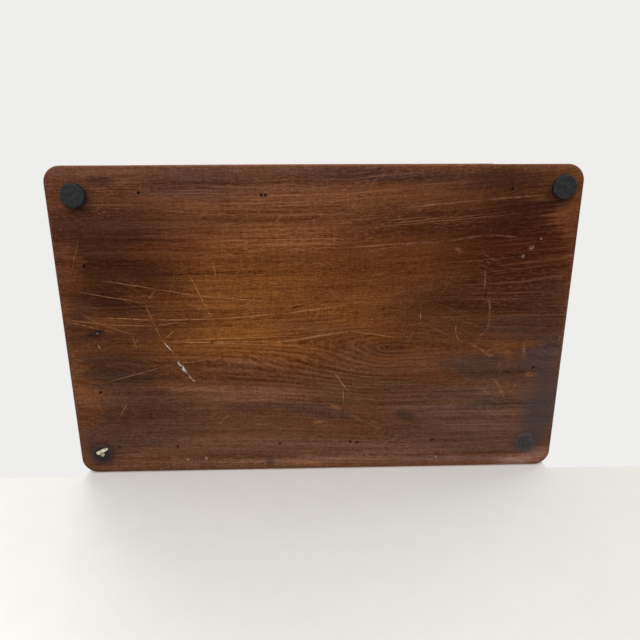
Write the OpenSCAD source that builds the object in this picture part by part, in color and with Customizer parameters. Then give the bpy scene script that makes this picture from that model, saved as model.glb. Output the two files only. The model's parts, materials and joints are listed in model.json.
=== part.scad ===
// Inlaid jewelry box: a dovetailed mahogany case on a broad base board, with a hinged lid,
// a mirror, a velvet-lined well with ring rolls, a drawer under it and a till lock.
// The front is at -Y, the base stands on z = 0, and the middle of the base is the origin.

/* [Box] */
// Width of the base board and of the lid board
box_w = 312; // [290:1:350]
// Depth of the base board and of the lid board
box_d = 196; // [185:1:230]
// Radius of the boards' corners
corner_r = 10; // [9:0.5:16]
// How far the boards stand out past the walls
overhang = 11; // [9:0.5:14]

/* [Base] */
// Thickness of the base board
base_t = 10; // [8:0.5:14]
// Radius of the base board's softened edges
base_round = 2.5; // [1:0.5:3.5]
// Diameter of a rubber foot
foot_d = 14; // [11:0.5:18]
// Height of a rubber foot
foot_h = 3; // [2:0.5:5]
// Radius of a foot's lower edge
foot_round = 1; // [0.5:0.1:1.5]
// Left foot, its middle in from the left edge
left_foot_side = 17; // [12:0.5:22]
// Left foot, its middle in from the front edge
left_foot_front = 16.5; // [12:0.5:22]
// Right foot, its middle in from the right edge
right_foot_side = 12.5; // [11:0.5:22]
// Right foot, its middle in from the front edge
right_foot_front = 13; // [12:0.5:22]
// Left lost foot, its middle in from the left edge
left_glue_side = 14; // [12:0.5:22]
// Left lost foot, its middle in from the back edge
left_glue_back = 14; // [12:0.5:22]
// Right lost foot, its middle in from the right edge
right_glue_side = 18; // [12:0.5:22]
// Right lost foot, its middle in from the back edge
right_glue_back = 17; // [12:0.5:22]
// Diameter of the glue that a lost foot left
glue_d = 15; // [11:0.5:18]
// Thickness of that glue
glue_t = 0.4; // [0.2:0.1:0.8]
// Diameter of a nail
nail_d = 1.2; // [0.8:0.1:1.6]
// Diameter of a nail's head
nail_head_d = 1.8; // [1.7:0.1:2.4]
// Thickness of a nail's head
nail_head_t = 0.8; // [0.4:0.1:1.2]
// Length of a nail
nail_len = 17; // [14:0.5:18]
// How deep the nails are punched under the surface
nail_set = 1.5; // [0.5:0.1:2.5]

/* [Case] */
// Thickness of the walls and of the lid rails
wall_t = 12; // [11:0.5:14]
// Height of the walls
wall_h = 98; // [94:1:120]
// Radius of the upright corners
case_round = 6; // [2:0.5:8]
// Dovetails at each corner of the case
case_tails = 4; // [3:1:6]
// Slope of the dovetails, one in this many
tail_slope = 7; // [5:0.5:8]
// Width of a dovetail's root, as a share of the tails' pitch
tail_share = 0.6; // [0.45:0.05:0.65]
// Thickness of the well's floor
floor_t = 4; // [3:0.5:6]
// Depth of the grooves that hold the floor
floor_groove = 3; // [2:0.5:5]
// Wood between the drawer's opening and the floor
floor_rise = 4; // [2:0.5:8]

/* [Drawer] */
// Height of the front wall left under the drawer
rail_h = 10; // [9:0.5:14]
// Width of the front wall left at each end of the drawer
stile_w = 25; // [20:0.5:40]
// Height of the drawer's front
drawer_h = 33; // [31:0.5:38]
// Thickness of the drawer's front
drawer_front_t = 10; // [9:0.5:12]
// Wood left in front of the drawer's dovetails
drawer_lap = 4; // [3:0.5:5]
// Thickness of the drawer's sides and back
drawer_side_t = 6; // [5:0.5:8]
// Height of the drawer's sides
drawer_side_h = 28; // [24:0.5:31]
// Length of the drawer, front to back
drawer_len = 148; // [120:1:150]
// Thickness of the drawer's bottom
drawer_bottom_t = 3; // [2:0.5:4]
// Wood under the drawer's bottom
drawer_bottom_up = 3; // [2:0.5:5]
// Depth of the grooves that hold the drawer's bottom
drawer_groove = 3; // [2:0.5:4]
// Dovetails at each corner of the drawer
drawer_tails = 2; // [1:1:3]
// Running gap round the drawer
drawer_gap = 0.4; // [0.2:0.1:0.8]
// How far the guides reach in under the drawer's sides
runner_w = 10; // [6:0.5:16]
// Height of the guides beside the drawer
guide_h = 30; // [20:0.5:36]
// Length of a drawer stop
stop_l = 8; // [5:0.5:12]
// Height of a drawer stop
stop_h = 8; // [4:0.5:14]
// Diameter of a drawer knob
knob_d = 11; // [9:0.5:14]
// How far a knob stands out
knob_l = 10; // [8:0.5:12]
// Diameter of the rose behind a knob
rose_d = 8.8; // [7.5:0.1:11]
// Thickness of that rose
rose_t = 1.2; // [0.8:0.1:1.6]
// Diameter of a knob's waist
waist_d = 6.2; // [5:0.1:7]
// Thickness of a knob's rounded head
knob_head_t = 5; // [3:0.5:6]
// Distance between the two knobs
knob_span = 124; // [80:1:180]
// Diameter of the screw in a knob
knob_screw_d = 3; // [2:0.5:4]
// Length of that screw inside the knob
knob_stud = 5; // [3:0.5:6]
// Diameter of that screw's head
knob_screw_head_d = 7.2; // [5:0.1:8]
// Thickness of that screw's head
knob_screw_head_t = 1.8; // [1.2:0.1:2.5]

/* [Well] */
// Thickness of the velvet on the sides of the well
lining_t = 1.6; // [1:0.2:3]
// Thickness of the velvet on the floor of the well and the drawer
pad_t = 2; // [1:0.2:4]
// How far the side linings stop under the walls' top
lining_low = 6; // [3:0.5:12]
// Thickness of the dividers
divider_t = 4; // [3:0.5:6]
// Height of the dividers
divider_h = 30; // [20:1:34]
// How deep the cross dividers seat in the long one
divider_groove = 1; // [0.5:0.1:1.5]
// Front to back depth of the front bays
front_bay = 56; // [46:1:70]
// Length of the bay that holds the ring rolls
ring_bay = 126; // [90:1:170]
// Ring rolls in that bay
roll_count = 3; // [2:1:4]
// Height of a ring roll
roll_h = 18; // [15:0.5:26]

/* [Lid] */
// Height of the lid's rails
rim_h = 26.6; // [24:0.2:34]
// Thickness of the lid board
lid_t = 12; // [11:0.5:14]
// Radius of the lid's moulded edge
lid_edge_r = 6; // [4:0.5:7]
// Height of the small step over that edge
lid_step = 1.2; // [0.8:0.1:1.6]
// Radius of the lid's lower edge
lid_low_r = 2; // [1:0.5:2.5]
// Gap between the closed lid and the walls
lid_gap = 0.4; // [0.2:0.1:0.8]
// Thickness of the mirror
mirror_t = 3; // [2:0.5:4]
// Width of the beading round the mirror
bead_w = 14; // [10:0.5:20]
// Height of the beading
bead_h = 8; // [6:0.5:10]
// Radius of the beading's rounded edge
bead_round = 3.5; // [1:0.5:4]
// How far the beading covers the mirror
bead_cover = 2.5; // [1.5:0.5:4]

/* [Inlay] */
// Thickness of the inlay
inlay_t = 1.2; // [0.8:0.1:1.6]
// Width of a line of stringing
string_w = 1.4; // [1:0.1:2]
// Lid stringing, in from the edge of the lid
string_in = 13; // [10:0.5:18]
// Width of the crossbanding
band_w = 10; // [6:0.5:14]
// Radius of a corner fan
fan_r = 26; // [16:0.5:32]
// Blades in a corner fan
fan_blades = 6; // [4:2:8]
// Radius of the round field behind the star
star_field_r = 46; // [38:0.5:50]
// Width of the ring round that field
star_ring_w = 2; // [1:0.1:3]
// Length of the star's long points
star_long = 42; // [32:0.5:45]
// Length of the star's short points
star_short = 29; // [22:0.5:34]
// Radius of the notches between the points
star_notch = 13; // [8:0.5:18]
// Front and side stringing, in from the edges of its panel
panel_in = 9; // [7:0.5:12]
// Drawer stringing, in from the edges of the drawer
drawer_string_in = 5; // [3.5:0.5:7]
// Width of the keyhole's lozenge
lozenge_w = 26; // [20:0.5:34]
// Height of the keyhole's lozenge
lozenge_h = 17; // [14:0.5:20]

/* [Hinges] */
// Length of a hinge
hinge_w = 38; // [32:1:50]
// Middle of a hinge, in from the end of the back wall
hinge_in = 50; // [34:1:90]
// Thickness of a leaf
leaf_t = 1.6; // [1.4:0.1:2]
// How far a leaf reaches over the wall
leaf_d = 10; // [9:0.5:10.5]
// Radius of the barrel
barrel_r = 2.5; // [2.2:0.1:3]
// Hinge axis, out from the back wall
axis_out = 1.5; // [1:0.1:2.5]
// Radius of the pin
pin_r = 1.1; // [0.8:0.1:1.3]
// Radius to the tips of the stops
stop_r = 5.6; // [4.5:0.1:7]
// Angle at which the stops would meet
stop_angle = 100; // [95:1:110]
// Screws in a leaf
leaf_screws = 3; // [2:1:3]
// Radius of a screw's head
screw_head_r = 2; // [1.6:0.1:2.2]
// Radius of a screw's shank
screw_r = 1; // [0.7:0.1:1.2]
// Length of a screw
screw_len = 9; // [7:0.5:12]
// Width and depth of the slot in a screw's head
screw_slot = 0.6; // [0.4:0.1:0.8]

/* [Lock] */
// Width of the lock's plates
lock_w = 48; // [44:1:60]
// Height of the lock's back plate
lock_h = 28; // [26:0.5:34]
// Thickness of the lock's plates
lock_plate_t = 1.6; // [1.2:0.1:2]
// Front to back depth of the lock's top plate
selvage_d = 8.6; // [8.5:0.1:9.5]
// Width of the lock's case
lock_case_w = 34; // [32:0.5:38]
// Front to back depth of the lock's case
lock_case_d = 6.4; // [6:0.2:6.8]
// Wall of the lock's case
lock_wall = 1; // [0.6:0.1:1.2]
// Keyhole, down from the top of the wall
key_drop = 19; // [17:0.5:21]
// Radius of the keyhole's round part
key_r = 1.9; // [1.5:0.1:2.4]
// Width of the keyhole's slot
key_slot = 1.8; // [1.2:0.1:2.4]
// Length of the keyhole's slot
key_len = 5.5; // [4:0.5:6]
// Radius of the pin that the key turns on
key_pin_r = 0.9; // [0.6:0.1:1.1]
// Staple, to the right of the keyhole
staple_x = 9; // [8.5:0.5:11]
// Width of the staple along the front
staple_w = 2.2; // [1.8:0.2:2.8]
// Thickness of the staple's sides
staple_side = 0.7; // [0.5:0.1:0.8]
// How far the staple hangs under the lid
staple_drop = 8.6; // [8.4:0.1:9.5]
// Travel of the bolt
bolt_travel = 6; // [5:0.5:6.5]
// Thickness of the bolt's nose
nose_t = 2.4; // [2:0.1:2.6]
// Height of the bolt's nose
nose_h = 2.8; // [2:0.1:3]
// Gap between the drawn-back bolt and the staple
nose_rest = 1.2; // [0.8:0.1:1.6]
// Length of the bolt's tail
tail_l = 12; // [9:0.5:13]
// Height of the bolt's tail
tail_h = 6; // [5:0.5:7]
// Width of the notch in the bolt that the key turns in
talon_w = 4; // [3:0.5:6]
// Depth of that notch
talon_h = 2; // [1:0.5:3]
// Thickness of the ledge that the bolt slides on
ledge_t = 1.2; // [0.8:0.1:1.6]

/* [Fits] */
// Clearance round a nail or a screw
nail_fit = 0.05; // [0.02:0.01:0.1]
// Clearance round a panel in its groove
panel_fit = 0.1; // [0.05:0.05:0.3]
// Glue line in a mitre
glue_line = 0.06; // [0.04:0.02:0.2]
// Clearance round a leaf or a lock plate in its recess
plate_fit = 0.1; // [0.05:0.05:0.3]
// Running clearance of the hinge pin and between the knuckles
hinge_fit = 0.06; // [0.02:0.01:0.1]
// Clearance between a knuckle and the other leaf
knuckle_gap = 0.3; // [0.2:0.05:0.5]
// Sliding clearance of the bolt
bolt_fit = 0.25; // [0.2:0.05:0.3]
// Clearance round the staple and round the bolt in its eye
staple_fit = 0.4; // [0.35:0.05:0.5]
// Clearance beside the soft pieces and the dividers
soft_fit = 0.3; // [0.2:0.05:0.5]

/* [Hidden] */
$fn = 64;
eps = 0.01;

// Woods and metals
mahogany = [0.36, 0.19, 0.12];
boxwood = [0.86, 0.72, 0.45];
ebony = [0.09, 0.07, 0.06];
satinwood = [0.76, 0.54, 0.28];
walnut = [0.27, 0.17, 0.10];
cedar = [0.62, 0.40, 0.26];
brass = [0.78, 0.62, 0.30];
steel = [0.45, 0.45, 0.46];
rubber = [0.06, 0.06, 0.06];
velvet = [0.30, 0.04, 0.08];
glue = [0.07, 0.07, 0.09];

// Levels, from the ground up
base_top = foot_h + base_t;
wall_top = base_top + wall_h;
rim_low = wall_top + lid_gap;
rim_top = rim_low + rim_h;
lid_top = rim_top + lid_t;
window_low = base_top + rail_h;
window_h = drawer_h + 2 * drawer_gap;
window_top = window_low + window_h;
floor_low = window_top + floor_rise;
floor_top = floor_low + floor_t;
pad_top = floor_top + pad_t;

// The case
case_w = box_w - 2 * overhang;
case_d = box_d - 2 * overhang;
in_w = case_w - 2 * wall_t;
in_d = case_d - 2 * wall_t;
front_face = -case_d / 2;
front_in = front_face + wall_t;
back_face = case_d / 2;
back_in = back_face - wall_t;
window_w = case_w - 2 * stile_w;

// Nails: each one's place along its wall as a share of half the length,
// and outwards from the wall's middle as a share of half the thickness
front_nails = [[-0.705, 0.28], [-0.223, 0.03], [-0.206, 0.03], [0.782, 0.48]];
back_nails = [
    [-0.897, -0.27], [-0.636, -0.27], [-0.175, -0.42],
    [0.146, -0.5], [0.176, -0.38], [0.519, -0.6]
];
left_nails = [[-0.467, -0.17], [0.463, -0.2]];
right_nails = [[0.314, -0.22]];
wall_mid_x = case_w / 2 - wall_t / 2;
wall_mid_y = case_d / 2 - wall_t / 2;
nail_places = concat(
    [for (n = front_nails) [n[0] * case_w / 2, -wall_mid_y - n[1] * wall_t / 2]],
    [for (n = back_nails) [n[0] * case_w / 2, wall_mid_y + n[1] * wall_t / 2]],
    [for (n = left_nails) [-wall_mid_x - n[1] * wall_t / 2, n[0] * case_d / 2]],
    [for (n = right_nails) [wall_mid_x + n[1] * wall_t / 2, n[0] * case_d / 2]]
);

// The drawer, which shuts flush with the front, or further out where its stops need the room
drawer_face = min(front_face, back_in - stop_l - drawer_gap - drawer_len);
drawer_w = window_w - 2 * drawer_gap;
drawer_low = window_low + drawer_gap;
drawer_front_back = drawer_face + drawer_front_t;
drawer_end = drawer_face + drawer_len;
drawer_in_w = drawer_w - 2 * drawer_side_t;
drawer_floor = drawer_low + drawer_bottom_up + drawer_bottom_t;
tail_depth = drawer_front_t - drawer_lap;
knob_z = drawer_low + drawer_h / 2;

// The well
well_left = -in_w / 2 + lining_t;
well_right = in_w / 2 - lining_t;
well_front = front_in + lining_t;
well_back = back_in - lining_t;
lining_top = wall_top - lining_low;
long_front = well_front + front_bay;
long_back = long_front + divider_t;
ring_end = well_left + ring_bay;
roll_w = (front_bay - (roll_count + 1) * soft_fit) / roll_count;
first_roll = well_front + soft_fit + roll_w / 2;

// The lid's inlay
lid_string_w = box_w - 2 * string_in;
lid_string_d = box_d - 2 * string_in;
band_in = string_in + string_w;
inner_in = band_in + band_w;
field_w = box_w - 2 * (inner_in + string_w);
field_d = box_d - 2 * (inner_in + string_w);

// The front and side panels
panel_low = window_top + panel_in;
panel_high = wall_top - panel_in;
side_low = base_top + panel_in;
key_z = wall_top - key_drop;

// The hinges
axis_y = back_face + axis_out;
axis_z = wall_top + lid_gap / 2;
hinge_x = case_w / 2 - hinge_in;
knuckle_l = hinge_w / 3;
leaf_front = back_face - leaf_d;
screw_y = back_face - leaf_d / 2;
screw_pitch = hinge_w / leaf_screws;

// The lock
plate_front = front_in - lock_plate_t;
lock_case_front = plate_front - lock_case_d;
selvage_front = front_in - selvage_d;
selvage_low = wall_top - lock_plate_t;
lock_case_low = selvage_low - (lock_h - 2 * lock_plate_t);
bolt_y = (lock_case_front + lock_wall + plate_front) / 2;
tail_t = lock_case_d - lock_wall - 2 * bolt_fit;
tail_top = selvage_low - bolt_fit;
tail_low = tail_top - tail_h;
nose_z = tail_top - tail_h / 2;
staple_low = wall_top + lid_gap - staple_drop;
nose_tip = staple_x - staple_w / 2 - nose_rest;
nose_l = bolt_travel - nose_rest + staple_fit;
lock_screw_x = (lock_w + lock_case_w) / 4;
lock_screw_y = (selvage_front + front_in) / 2;

// Shared shapes

// Rectangle with round corners
module rounded_rect(w, d, r) {
    square([w - 2 * r, d], center = true);
    square([w, d - 2 * r], center = true);
    for (x = [-1, 1], y = [-1, 1])
        translate([x * (w / 2 - r), y * (d / 2 - r)]) circle(r);
}

// Quarter of a disc, in the first quadrant
module quarter_disc(r) {
    intersection() {
        circle(r);
        square(r);
    }
}

// Line of stringing round a rectangle
module string_line(w, d) {
    difference() {
        square([w, d], center = true);
        square([w - 2 * string_w, d - 2 * string_w], center = true);
    }
}

// Front strip of a frame of four, cut at 45 degrees with half a glue line at each end
module mitred_strip(across, deep, w) {
    half = across / 2 - glue_line / 2;
    near = -deep / 2;
    polygon([[-half, near], [half, near], [half - w, near + w], [w - half, near + w]]);
}

// Repeats the front strip of a frame on its four sides
module four_sides(w, d) {
    for (turn = [0, 1], side = [0, 1]) mirror([turn, -turn, 0]) mirror([0, side, 0]) {
        $across = turn == 0 ? w : d;
        $deep = turn == 0 ? d : w;
        children();
    }
}

// Half of a board's section, from its middle to an edge that is rounded above and below
module round_edge(half, t, low_r, high_r) {
    square([half - low_r, t / 2]);
    translate([0, t / 2]) square([half - high_r, t / 2]);
    translate([0, low_r]) square([half, t - low_r - high_r]);
    translate([half - low_r, low_r]) mirror([0, 1]) quarter_disc(low_r);
    translate([half - high_r, t - high_r]) quarter_disc(high_r);
}

// Half of the lid board's section: a rounded thumb edge under a small step
module thumb_edge(half) {
    square([half - lid_edge_r, lid_t]);
    round_edge(half, lid_t - lid_step, lid_low_r, lid_edge_r);
}

// Board with round corners whose edges follow the section that is drawn by the children:
// child 0 is half the section across X, child 1 half of it across one corner
module edged_board() {
    length_x = box_w - 2 * corner_r;
    length_y = box_d - 2 * corner_r;
    for (s = [0, 1]) mirror([s, 0, 0])
        rotate([90, 0, 0]) translate([0, 0, -length_y / 2]) linear_extrude(length_y) children(0);
    for (s = [0, 1]) mirror([0, s, 0])
        translate([-length_x / 2, length_y / 2, 0]) rotate([90, 0, 90])
            linear_extrude(length_x) children(1);
    for (sx = [0, 1], sy = [0, 1]) mirror([sx, 0, 0]) mirror([0, sy, 0])
        translate([length_x / 2, length_y / 2, 0]) rotate_extrude(angle = 90) children(1);
}

// Row of dovetails up a board's end: roots at x = 0, tips at x = depth
module tails(h, count, depth) {
    pitch = h / count;
    root = tail_share * pitch / 2;
    tip = root + depth / tail_slope;
    for (i = [0:count - 1])
        translate([0, (i + 0.5) * pitch])
            polygon([[0, -root], [depth, -tip], [depth, tip], [0, root]]);
}

// Dovetails at both ends of a left or right board, whose outer face is at x = 0
module end_tails(h, count) {
    for (s = [0, 1]) mirror([0, s, 0])
        translate([0, in_d / 2, 0]) rotate([90, 0, 90])
            linear_extrude(wall_t) tails(h, count, wall_t);
}

// Left board of the case or the lid, standing on z = 0
module tailed_board(h, count) {
    translate([-case_w / 2, 0, 0]) {
        translate([0, -in_d / 2, 0]) cube([wall_t, in_d, h]);
        end_tails(h, count);
    }
}

// Front board of the case or the lid, cut for the tails of the boards that it meets
module pinned_board(h, count) {
    difference() {
        translate([-case_w / 2, -case_d / 2, 0]) cube([case_w, wall_t, h]);
        for (s = [0, 1]) mirror([s, 0, 0])
            translate([-case_w / 2, 0, 0]) end_tails(h, count);
    }
}

// Keeps what lies inside the case's round upright corners
module round_corners(z, h) {
    intersection() {
        translate([0, 0, z]) children();
        translate([0, 0, z]) linear_extrude(h) rounded_rect(case_w, case_d, case_round);
    }
}

// Countersunk screw that points down, its head's top at z = 0; grow widens it all round for its hole
module screw_body(grow) {
    rotate_extrude() polygon([
        [0, grow], [screw_head_r + grow, grow], [screw_head_r + grow, 0],
        [screw_r + grow, screw_r - screw_head_r], [screw_r + grow, screw_r - screw_len],
        [0, -screw_len - grow]
    ]);
}

module screw() {
    difference() {
        screw_body(0);
        translate([-screw_head_r, -screw_slot / 2, -screw_slot])
            cube([2 * screw_head_r, screw_slot, 2 * screw_slot]);
    }
}

// Keyhole, upright in the plane of the front, its round part on the origin
module keyhole() {
    circle(key_r);
    translate([-key_slot / 2, -key_len]) square([key_slot, key_len]);
}

// Stands a flat shape up in the plane of the front, reaching t into the front from face y
module on_front(y, t) {
    translate([0, y + t, 0]) rotate([90, 0, 0]) linear_extrude(t) children();
}

// Base and feet

module base_section(half) {
    round_edge(half, base_t, base_round, base_round);
}

// Nail that points up, its head's underside at z = 0; grow widens it all round for its hole
module nail_body(grow, head_reach) {
    translate([0, 0, -head_reach]) cylinder(r = nail_head_d / 2 + grow, h = head_reach);
    cylinder(r = nail_d / 2 + grow, h = nail_len - nail_head_t + grow);
}

module at_nails() {
    for (p = nail_places)
        translate([p[0], p[1], foot_h + nail_set + nail_head_t]) children();
}

module nail_holes() {
    at_nails() nail_body(nail_fit, nail_head_t + nail_set + eps);
}

module base_board() {
    color(mahogany) difference() {
        translate([0, 0, foot_h]) edged_board() {
            base_section(box_w / 2);
            base_section(corner_r);
        }
        nail_holes();
    }
}

module base_nails() {
    color(steel) at_nails() nail_body(0, nail_head_t);
}

module foot() {
    color(rubber) rotate_extrude() intersection() {
        square([foot_d / 2, foot_h]);
        union() {
            translate([0, foot_round]) square([foot_d / 2, foot_h]);
            square([foot_d / 2 - foot_round, foot_h]);
            translate([foot_d / 2 - foot_round, foot_round]) circle(foot_round);
        }
    }
}

module left_foot() {
    translate([left_foot_side - box_w / 2, left_foot_front - box_d / 2, 0]) foot();
}

module right_foot() {
    translate([box_w / 2 - right_foot_side, right_foot_front - box_d / 2, 0]) foot();
}

module glue_patches() {
    places = [
        [left_glue_side - box_w / 2, box_d / 2 - left_glue_back],
        [box_w / 2 - right_glue_side, box_d / 2 - right_glue_back]
    ];
    color(glue) for (p = places)
        translate([p[0], p[1], foot_h - glue_t]) cylinder(d = glue_d, h = glue_t);
}

// Case

// Groove for the well's floor, cut into whatever is given
module floor_cut() {
    reach = 2 * (floor_groove + panel_fit);
    translate([0, 0, floor_low + floor_t / 2])
        cube([in_w + reach, in_d + reach, floor_t + 2 * panel_fit], center = true);
}

module front_string_shape() {
    translate([0, (panel_low + panel_high) / 2])
        string_line(case_w - 2 * (wall_t + panel_in), panel_high - panel_low);
}

module lozenge() {
    polygon([[-lozenge_w / 2, 0], [0, -lozenge_h / 2], [lozenge_w / 2, 0], [0, lozenge_h / 2]]);
}

// Room for the lock in the front wall
module lock_recess() {
    f = plate_fit;
    translate([-lock_w / 2 - f, selvage_front - f, selvage_low - f])
        cube([lock_w + 2 * f, selvage_d + f + eps, lock_plate_t + f + eps]);
    translate([-lock_w / 2 - f, plate_front - f, wall_top - lock_h - f])
        cube([lock_w + 2 * f, lock_plate_t + f + eps, lock_h + f + eps]);
    translate([-lock_case_w / 2 - f, lock_case_front - f, lock_case_low - f])
        cube([lock_case_w + 2 * f, lock_case_d + 2 * f, selvage_low - lock_case_low + f]);
    at_lock_screws() screw_body(nail_fit);
    translate([0, 0, key_z]) on_front(front_face - eps, wall_t) keyhole();
}

module front_wall() {
    color(mahogany) difference() {
        round_corners(base_top, wall_h) pinned_board(wall_h, case_tails);
        translate([-window_w / 2, front_face - eps, window_low])
            cube([window_w, wall_t + 2 * eps, window_h]);
        floor_cut();
        nail_holes();
        lock_recess();
        on_front(front_face - eps, inlay_t + eps) front_string_shape();
        translate([0, 0, key_z]) on_front(front_face - eps, inlay_t + eps) lozenge();
    }
}

module back_wall() {
    color(mahogany) difference() {
        round_corners(base_top, wall_h) mirror([0, 1, 0]) pinned_board(wall_h, case_tails);
        floor_cut();
        nail_holes();
        for (s = [-1, 1]) translate([s * hinge_x, 0, 0]) {
            leaf_recess(selvage_z = wall_top - leaf_t);
            at_leaf_screws() translate([0, 0, wall_top]) screw_body(nail_fit);
        }
    }
}

module side_string_shape() {
    translate([0, (side_low + panel_high) / 2])
        string_line(case_d - 2 * (wall_t + panel_in), panel_high - side_low);
}

module side_string(grow) {
    translate([-case_w / 2 - grow, 0, 0]) rotate([90, 0, 90])
        linear_extrude(inlay_t + grow) side_string_shape();
}

module side_wall() {
    color(mahogany) difference() {
        round_corners(base_top, wall_h) tailed_board(wall_h, case_tails);
        floor_cut();
        side_string(eps);
    }
}

module left_wall() {
    difference() {
        side_wall();
        nail_holes();
    }
}

module right_wall() {
    difference() {
        mirror([1, 0, 0]) side_wall();
        nail_holes();
    }
}

module well_floor() {
    color(cedar) translate([0, 0, floor_low + floor_t / 2])
        cube([in_w + 2 * floor_groove, in_d + 2 * floor_groove, floor_t], center = true);
}

module drawer_guide() {
    side = in_w / 2 - window_w / 2;
    color(cedar) translate([window_w / 2, front_in, base_top]) rotate([90, 0, 0])
        translate([0, 0, -in_d]) linear_extrude(in_d)
            polygon([
                [-runner_w, 0], [side, 0], [side, guide_h],
                [0, guide_h], [0, rail_h], [-runner_w, rail_h]
            ]);
}

module right_drawer_guide() {
    drawer_guide();
}

module left_drawer_guide() {
    mirror([1, 0, 0]) drawer_guide();
}

module drawer_stops() {
    color(cedar) for (s = [0, 1]) mirror([s, 0, 0])
        translate([window_w / 2 - runner_w, drawer_end + drawer_gap, window_low])
            cube([runner_w, stop_l, stop_h]);
}

// Well

module floor_lining() {
    color(velvet) translate([well_left + soft_fit, well_front + soft_fit, floor_top])
        cube([well_right - well_left - 2 * soft_fit, well_back - well_front - 2 * soft_fit, pad_t]);
}

module side_linings() {
    h = lining_top - floor_top;
    long = well_right - well_left - 2 * soft_fit;
    color(velvet) {
        for (s = [0, 1]) mirror([s, 0, 0])
            translate([-in_w / 2, -in_d / 2, floor_top]) cube([lining_t, in_d, h]);
        translate([well_left + soft_fit, well_back, floor_top]) cube([long, lining_t, h]);
        difference() {
            translate([well_left + soft_fit, front_in, floor_top]) cube([long, lining_t, h]);
            translate([-lock_w / 2 - soft_fit, front_in - eps, wall_top - lock_h - soft_fit])
                cube([lock_w + 2 * soft_fit, lining_t + 2 * eps, lock_h + soft_fit]);
        }
    }
}

// The cross dividers as boxes, grown all round by fit
module cross_boxes(fit) {
    bay = (well_right - well_left) / 3;
    front_l = front_bay - soft_fit + divider_groove;
    back_l = well_back - long_back - soft_fit + divider_groove;
    translate([ring_end - fit, well_front + soft_fit - fit, pad_top - fit])
        cube([divider_t + 2 * fit, front_l + 2 * fit, divider_h + 2 * fit]);
    for (s = [-1, 1])
        translate([s * bay / 2 - divider_t / 2 - fit, long_back - divider_groove - fit, pad_top - fit])
            cube([divider_t + 2 * fit, back_l + 2 * fit, divider_h + 2 * fit]);
}

module cross_dividers() {
    color(mahogany) cross_boxes(0);
}

module long_divider() {
    color(mahogany) difference() {
        translate([well_left + soft_fit, long_front, pad_top])
            cube([well_right - well_left - 2 * soft_fit, divider_t, divider_h]);
        cross_boxes(panel_fit);
    }
}

// Roll with a round crown, along X
module ring_roll() {
    length = ring_bay - 2 * soft_fit;
    rotate([90, 0, 90]) linear_extrude(length) intersection() {
        translate([-roll_w / 2, 0]) square([roll_w, roll_h]);
        union() {
            translate([-roll_w / 2, 0]) square([roll_w, roll_h - roll_w / 2]);
            translate([0, roll_h - roll_w / 2]) circle(roll_w / 2);
        }
    }
}

module ring_rolls() {
    color(velvet) for (i = [0:roll_count - 1])
        translate([well_left + soft_fit, first_roll + i * (roll_w + soft_fit), pad_top])
            ring_roll();
}

// Case inlay

module keyhole_escutcheon() {
    color(boxwood) translate([0, 0, key_z]) on_front(front_face, inlay_t) difference() {
        lozenge();
        keyhole();
    }
}

module front_stringing() {
    color(boxwood) on_front(front_face, inlay_t) front_string_shape();
}

module side_stringing() {
    color(boxwood) for (s = [0, 1]) mirror([s, 0, 0]) side_string(0);
}

// Hinges, drawn round x = 0 with the lid shut

module hinge_axis(length, r) {
    translate([-length / 2, axis_y, axis_z]) rotate([0, 90, 0]) cylinder(r = r, h = length);
}

// The knuckles of the case leaf are the two outer ones
module case_knuckles(r, grow) {
    length = knuckle_l - hinge_fit + 2 * grow;
    for (s = [-1, 1]) translate([s * knuckle_l, 0, 0]) hinge_axis(length, r);
}

module lid_knuckle(r, grow) {
    hinge_axis(knuckle_l - hinge_fit + 2 * grow, r);
}

// Recess for a leaf and its barrel
module leaf_recess(selvage_z) {
    f = plate_fit;
    translate([-hinge_w / 2 - f, leaf_front - f, selvage_z - f])
        cube([hinge_w + 2 * f, leaf_d + f + eps, leaf_t + 2 * f]);
    hinge_axis(hinge_w + 2 * knuckle_gap, barrel_r + knuckle_gap);
}

module at_leaf_screws() {
    for (i = [0:leaf_screws - 1])
        translate([(i - (leaf_screws - 1) / 2) * screw_pitch, screw_y, 0]) children();
}

// Plate of a leaf, from the wood to the axis
module leaf_plate(z) {
    translate([-hinge_w / 2, leaf_front, z]) cube([hinge_w, axis_y - leaf_front, leaf_t]);
}

// Stop under the barrel, from straight down to half the angle at which the two stops would meet
module leaf_stop() {
    half = stop_angle / 2;
    translate([-hinge_w / 2, axis_y, axis_z]) rotate([90, 0, 90]) linear_extrude(hinge_w) intersection() {
        circle(stop_r);
        polygon([[0, 0], [0, -2 * stop_r], 2 * stop_r * [cos(half), -sin(half)]]);
    }
}

module case_leaf() {
    color(brass) difference() {
        union() {
            difference() {
                union() {
                    leaf_plate(wall_top - leaf_t);
                    leaf_stop();
                }
                lid_knuckle(barrel_r + knuckle_gap, hinge_fit);
            }
            case_knuckles(barrel_r, 0);
        }
        hinge_axis(2 * hinge_w, pin_r + hinge_fit / 2);
        at_leaf_screws() translate([0, 0, wall_top]) screw_body(nail_fit);
    }
}

module lid_leaf() {
    color(brass) difference() {
        union() {
            difference() {
                union() {
                    leaf_plate(rim_low);
                    translate([0, 0, 2 * axis_z]) mirror([0, 0, 1]) leaf_stop();
                }
                case_knuckles(barrel_r + knuckle_gap, hinge_fit);
            }
            lid_knuckle(barrel_r, 0);
        }
        hinge_axis(2 * hinge_w, pin_r + hinge_fit);
        at_leaf_screws() translate([0, 0, rim_low]) mirror([0, 0, 1]) screw_body(nail_fit);
    }
}

module left_hinge_case_leaf() {
    translate([-hinge_x, 0, 0]) case_leaf();
}

module right_hinge_case_leaf() {
    translate([hinge_x, 0, 0]) case_leaf();
}

module left_hinge_lid_leaf() {
    translate([-hinge_x, 0, 0]) lid_leaf();
}

module right_hinge_lid_leaf() {
    translate([hinge_x, 0, 0]) lid_leaf();
}

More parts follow.
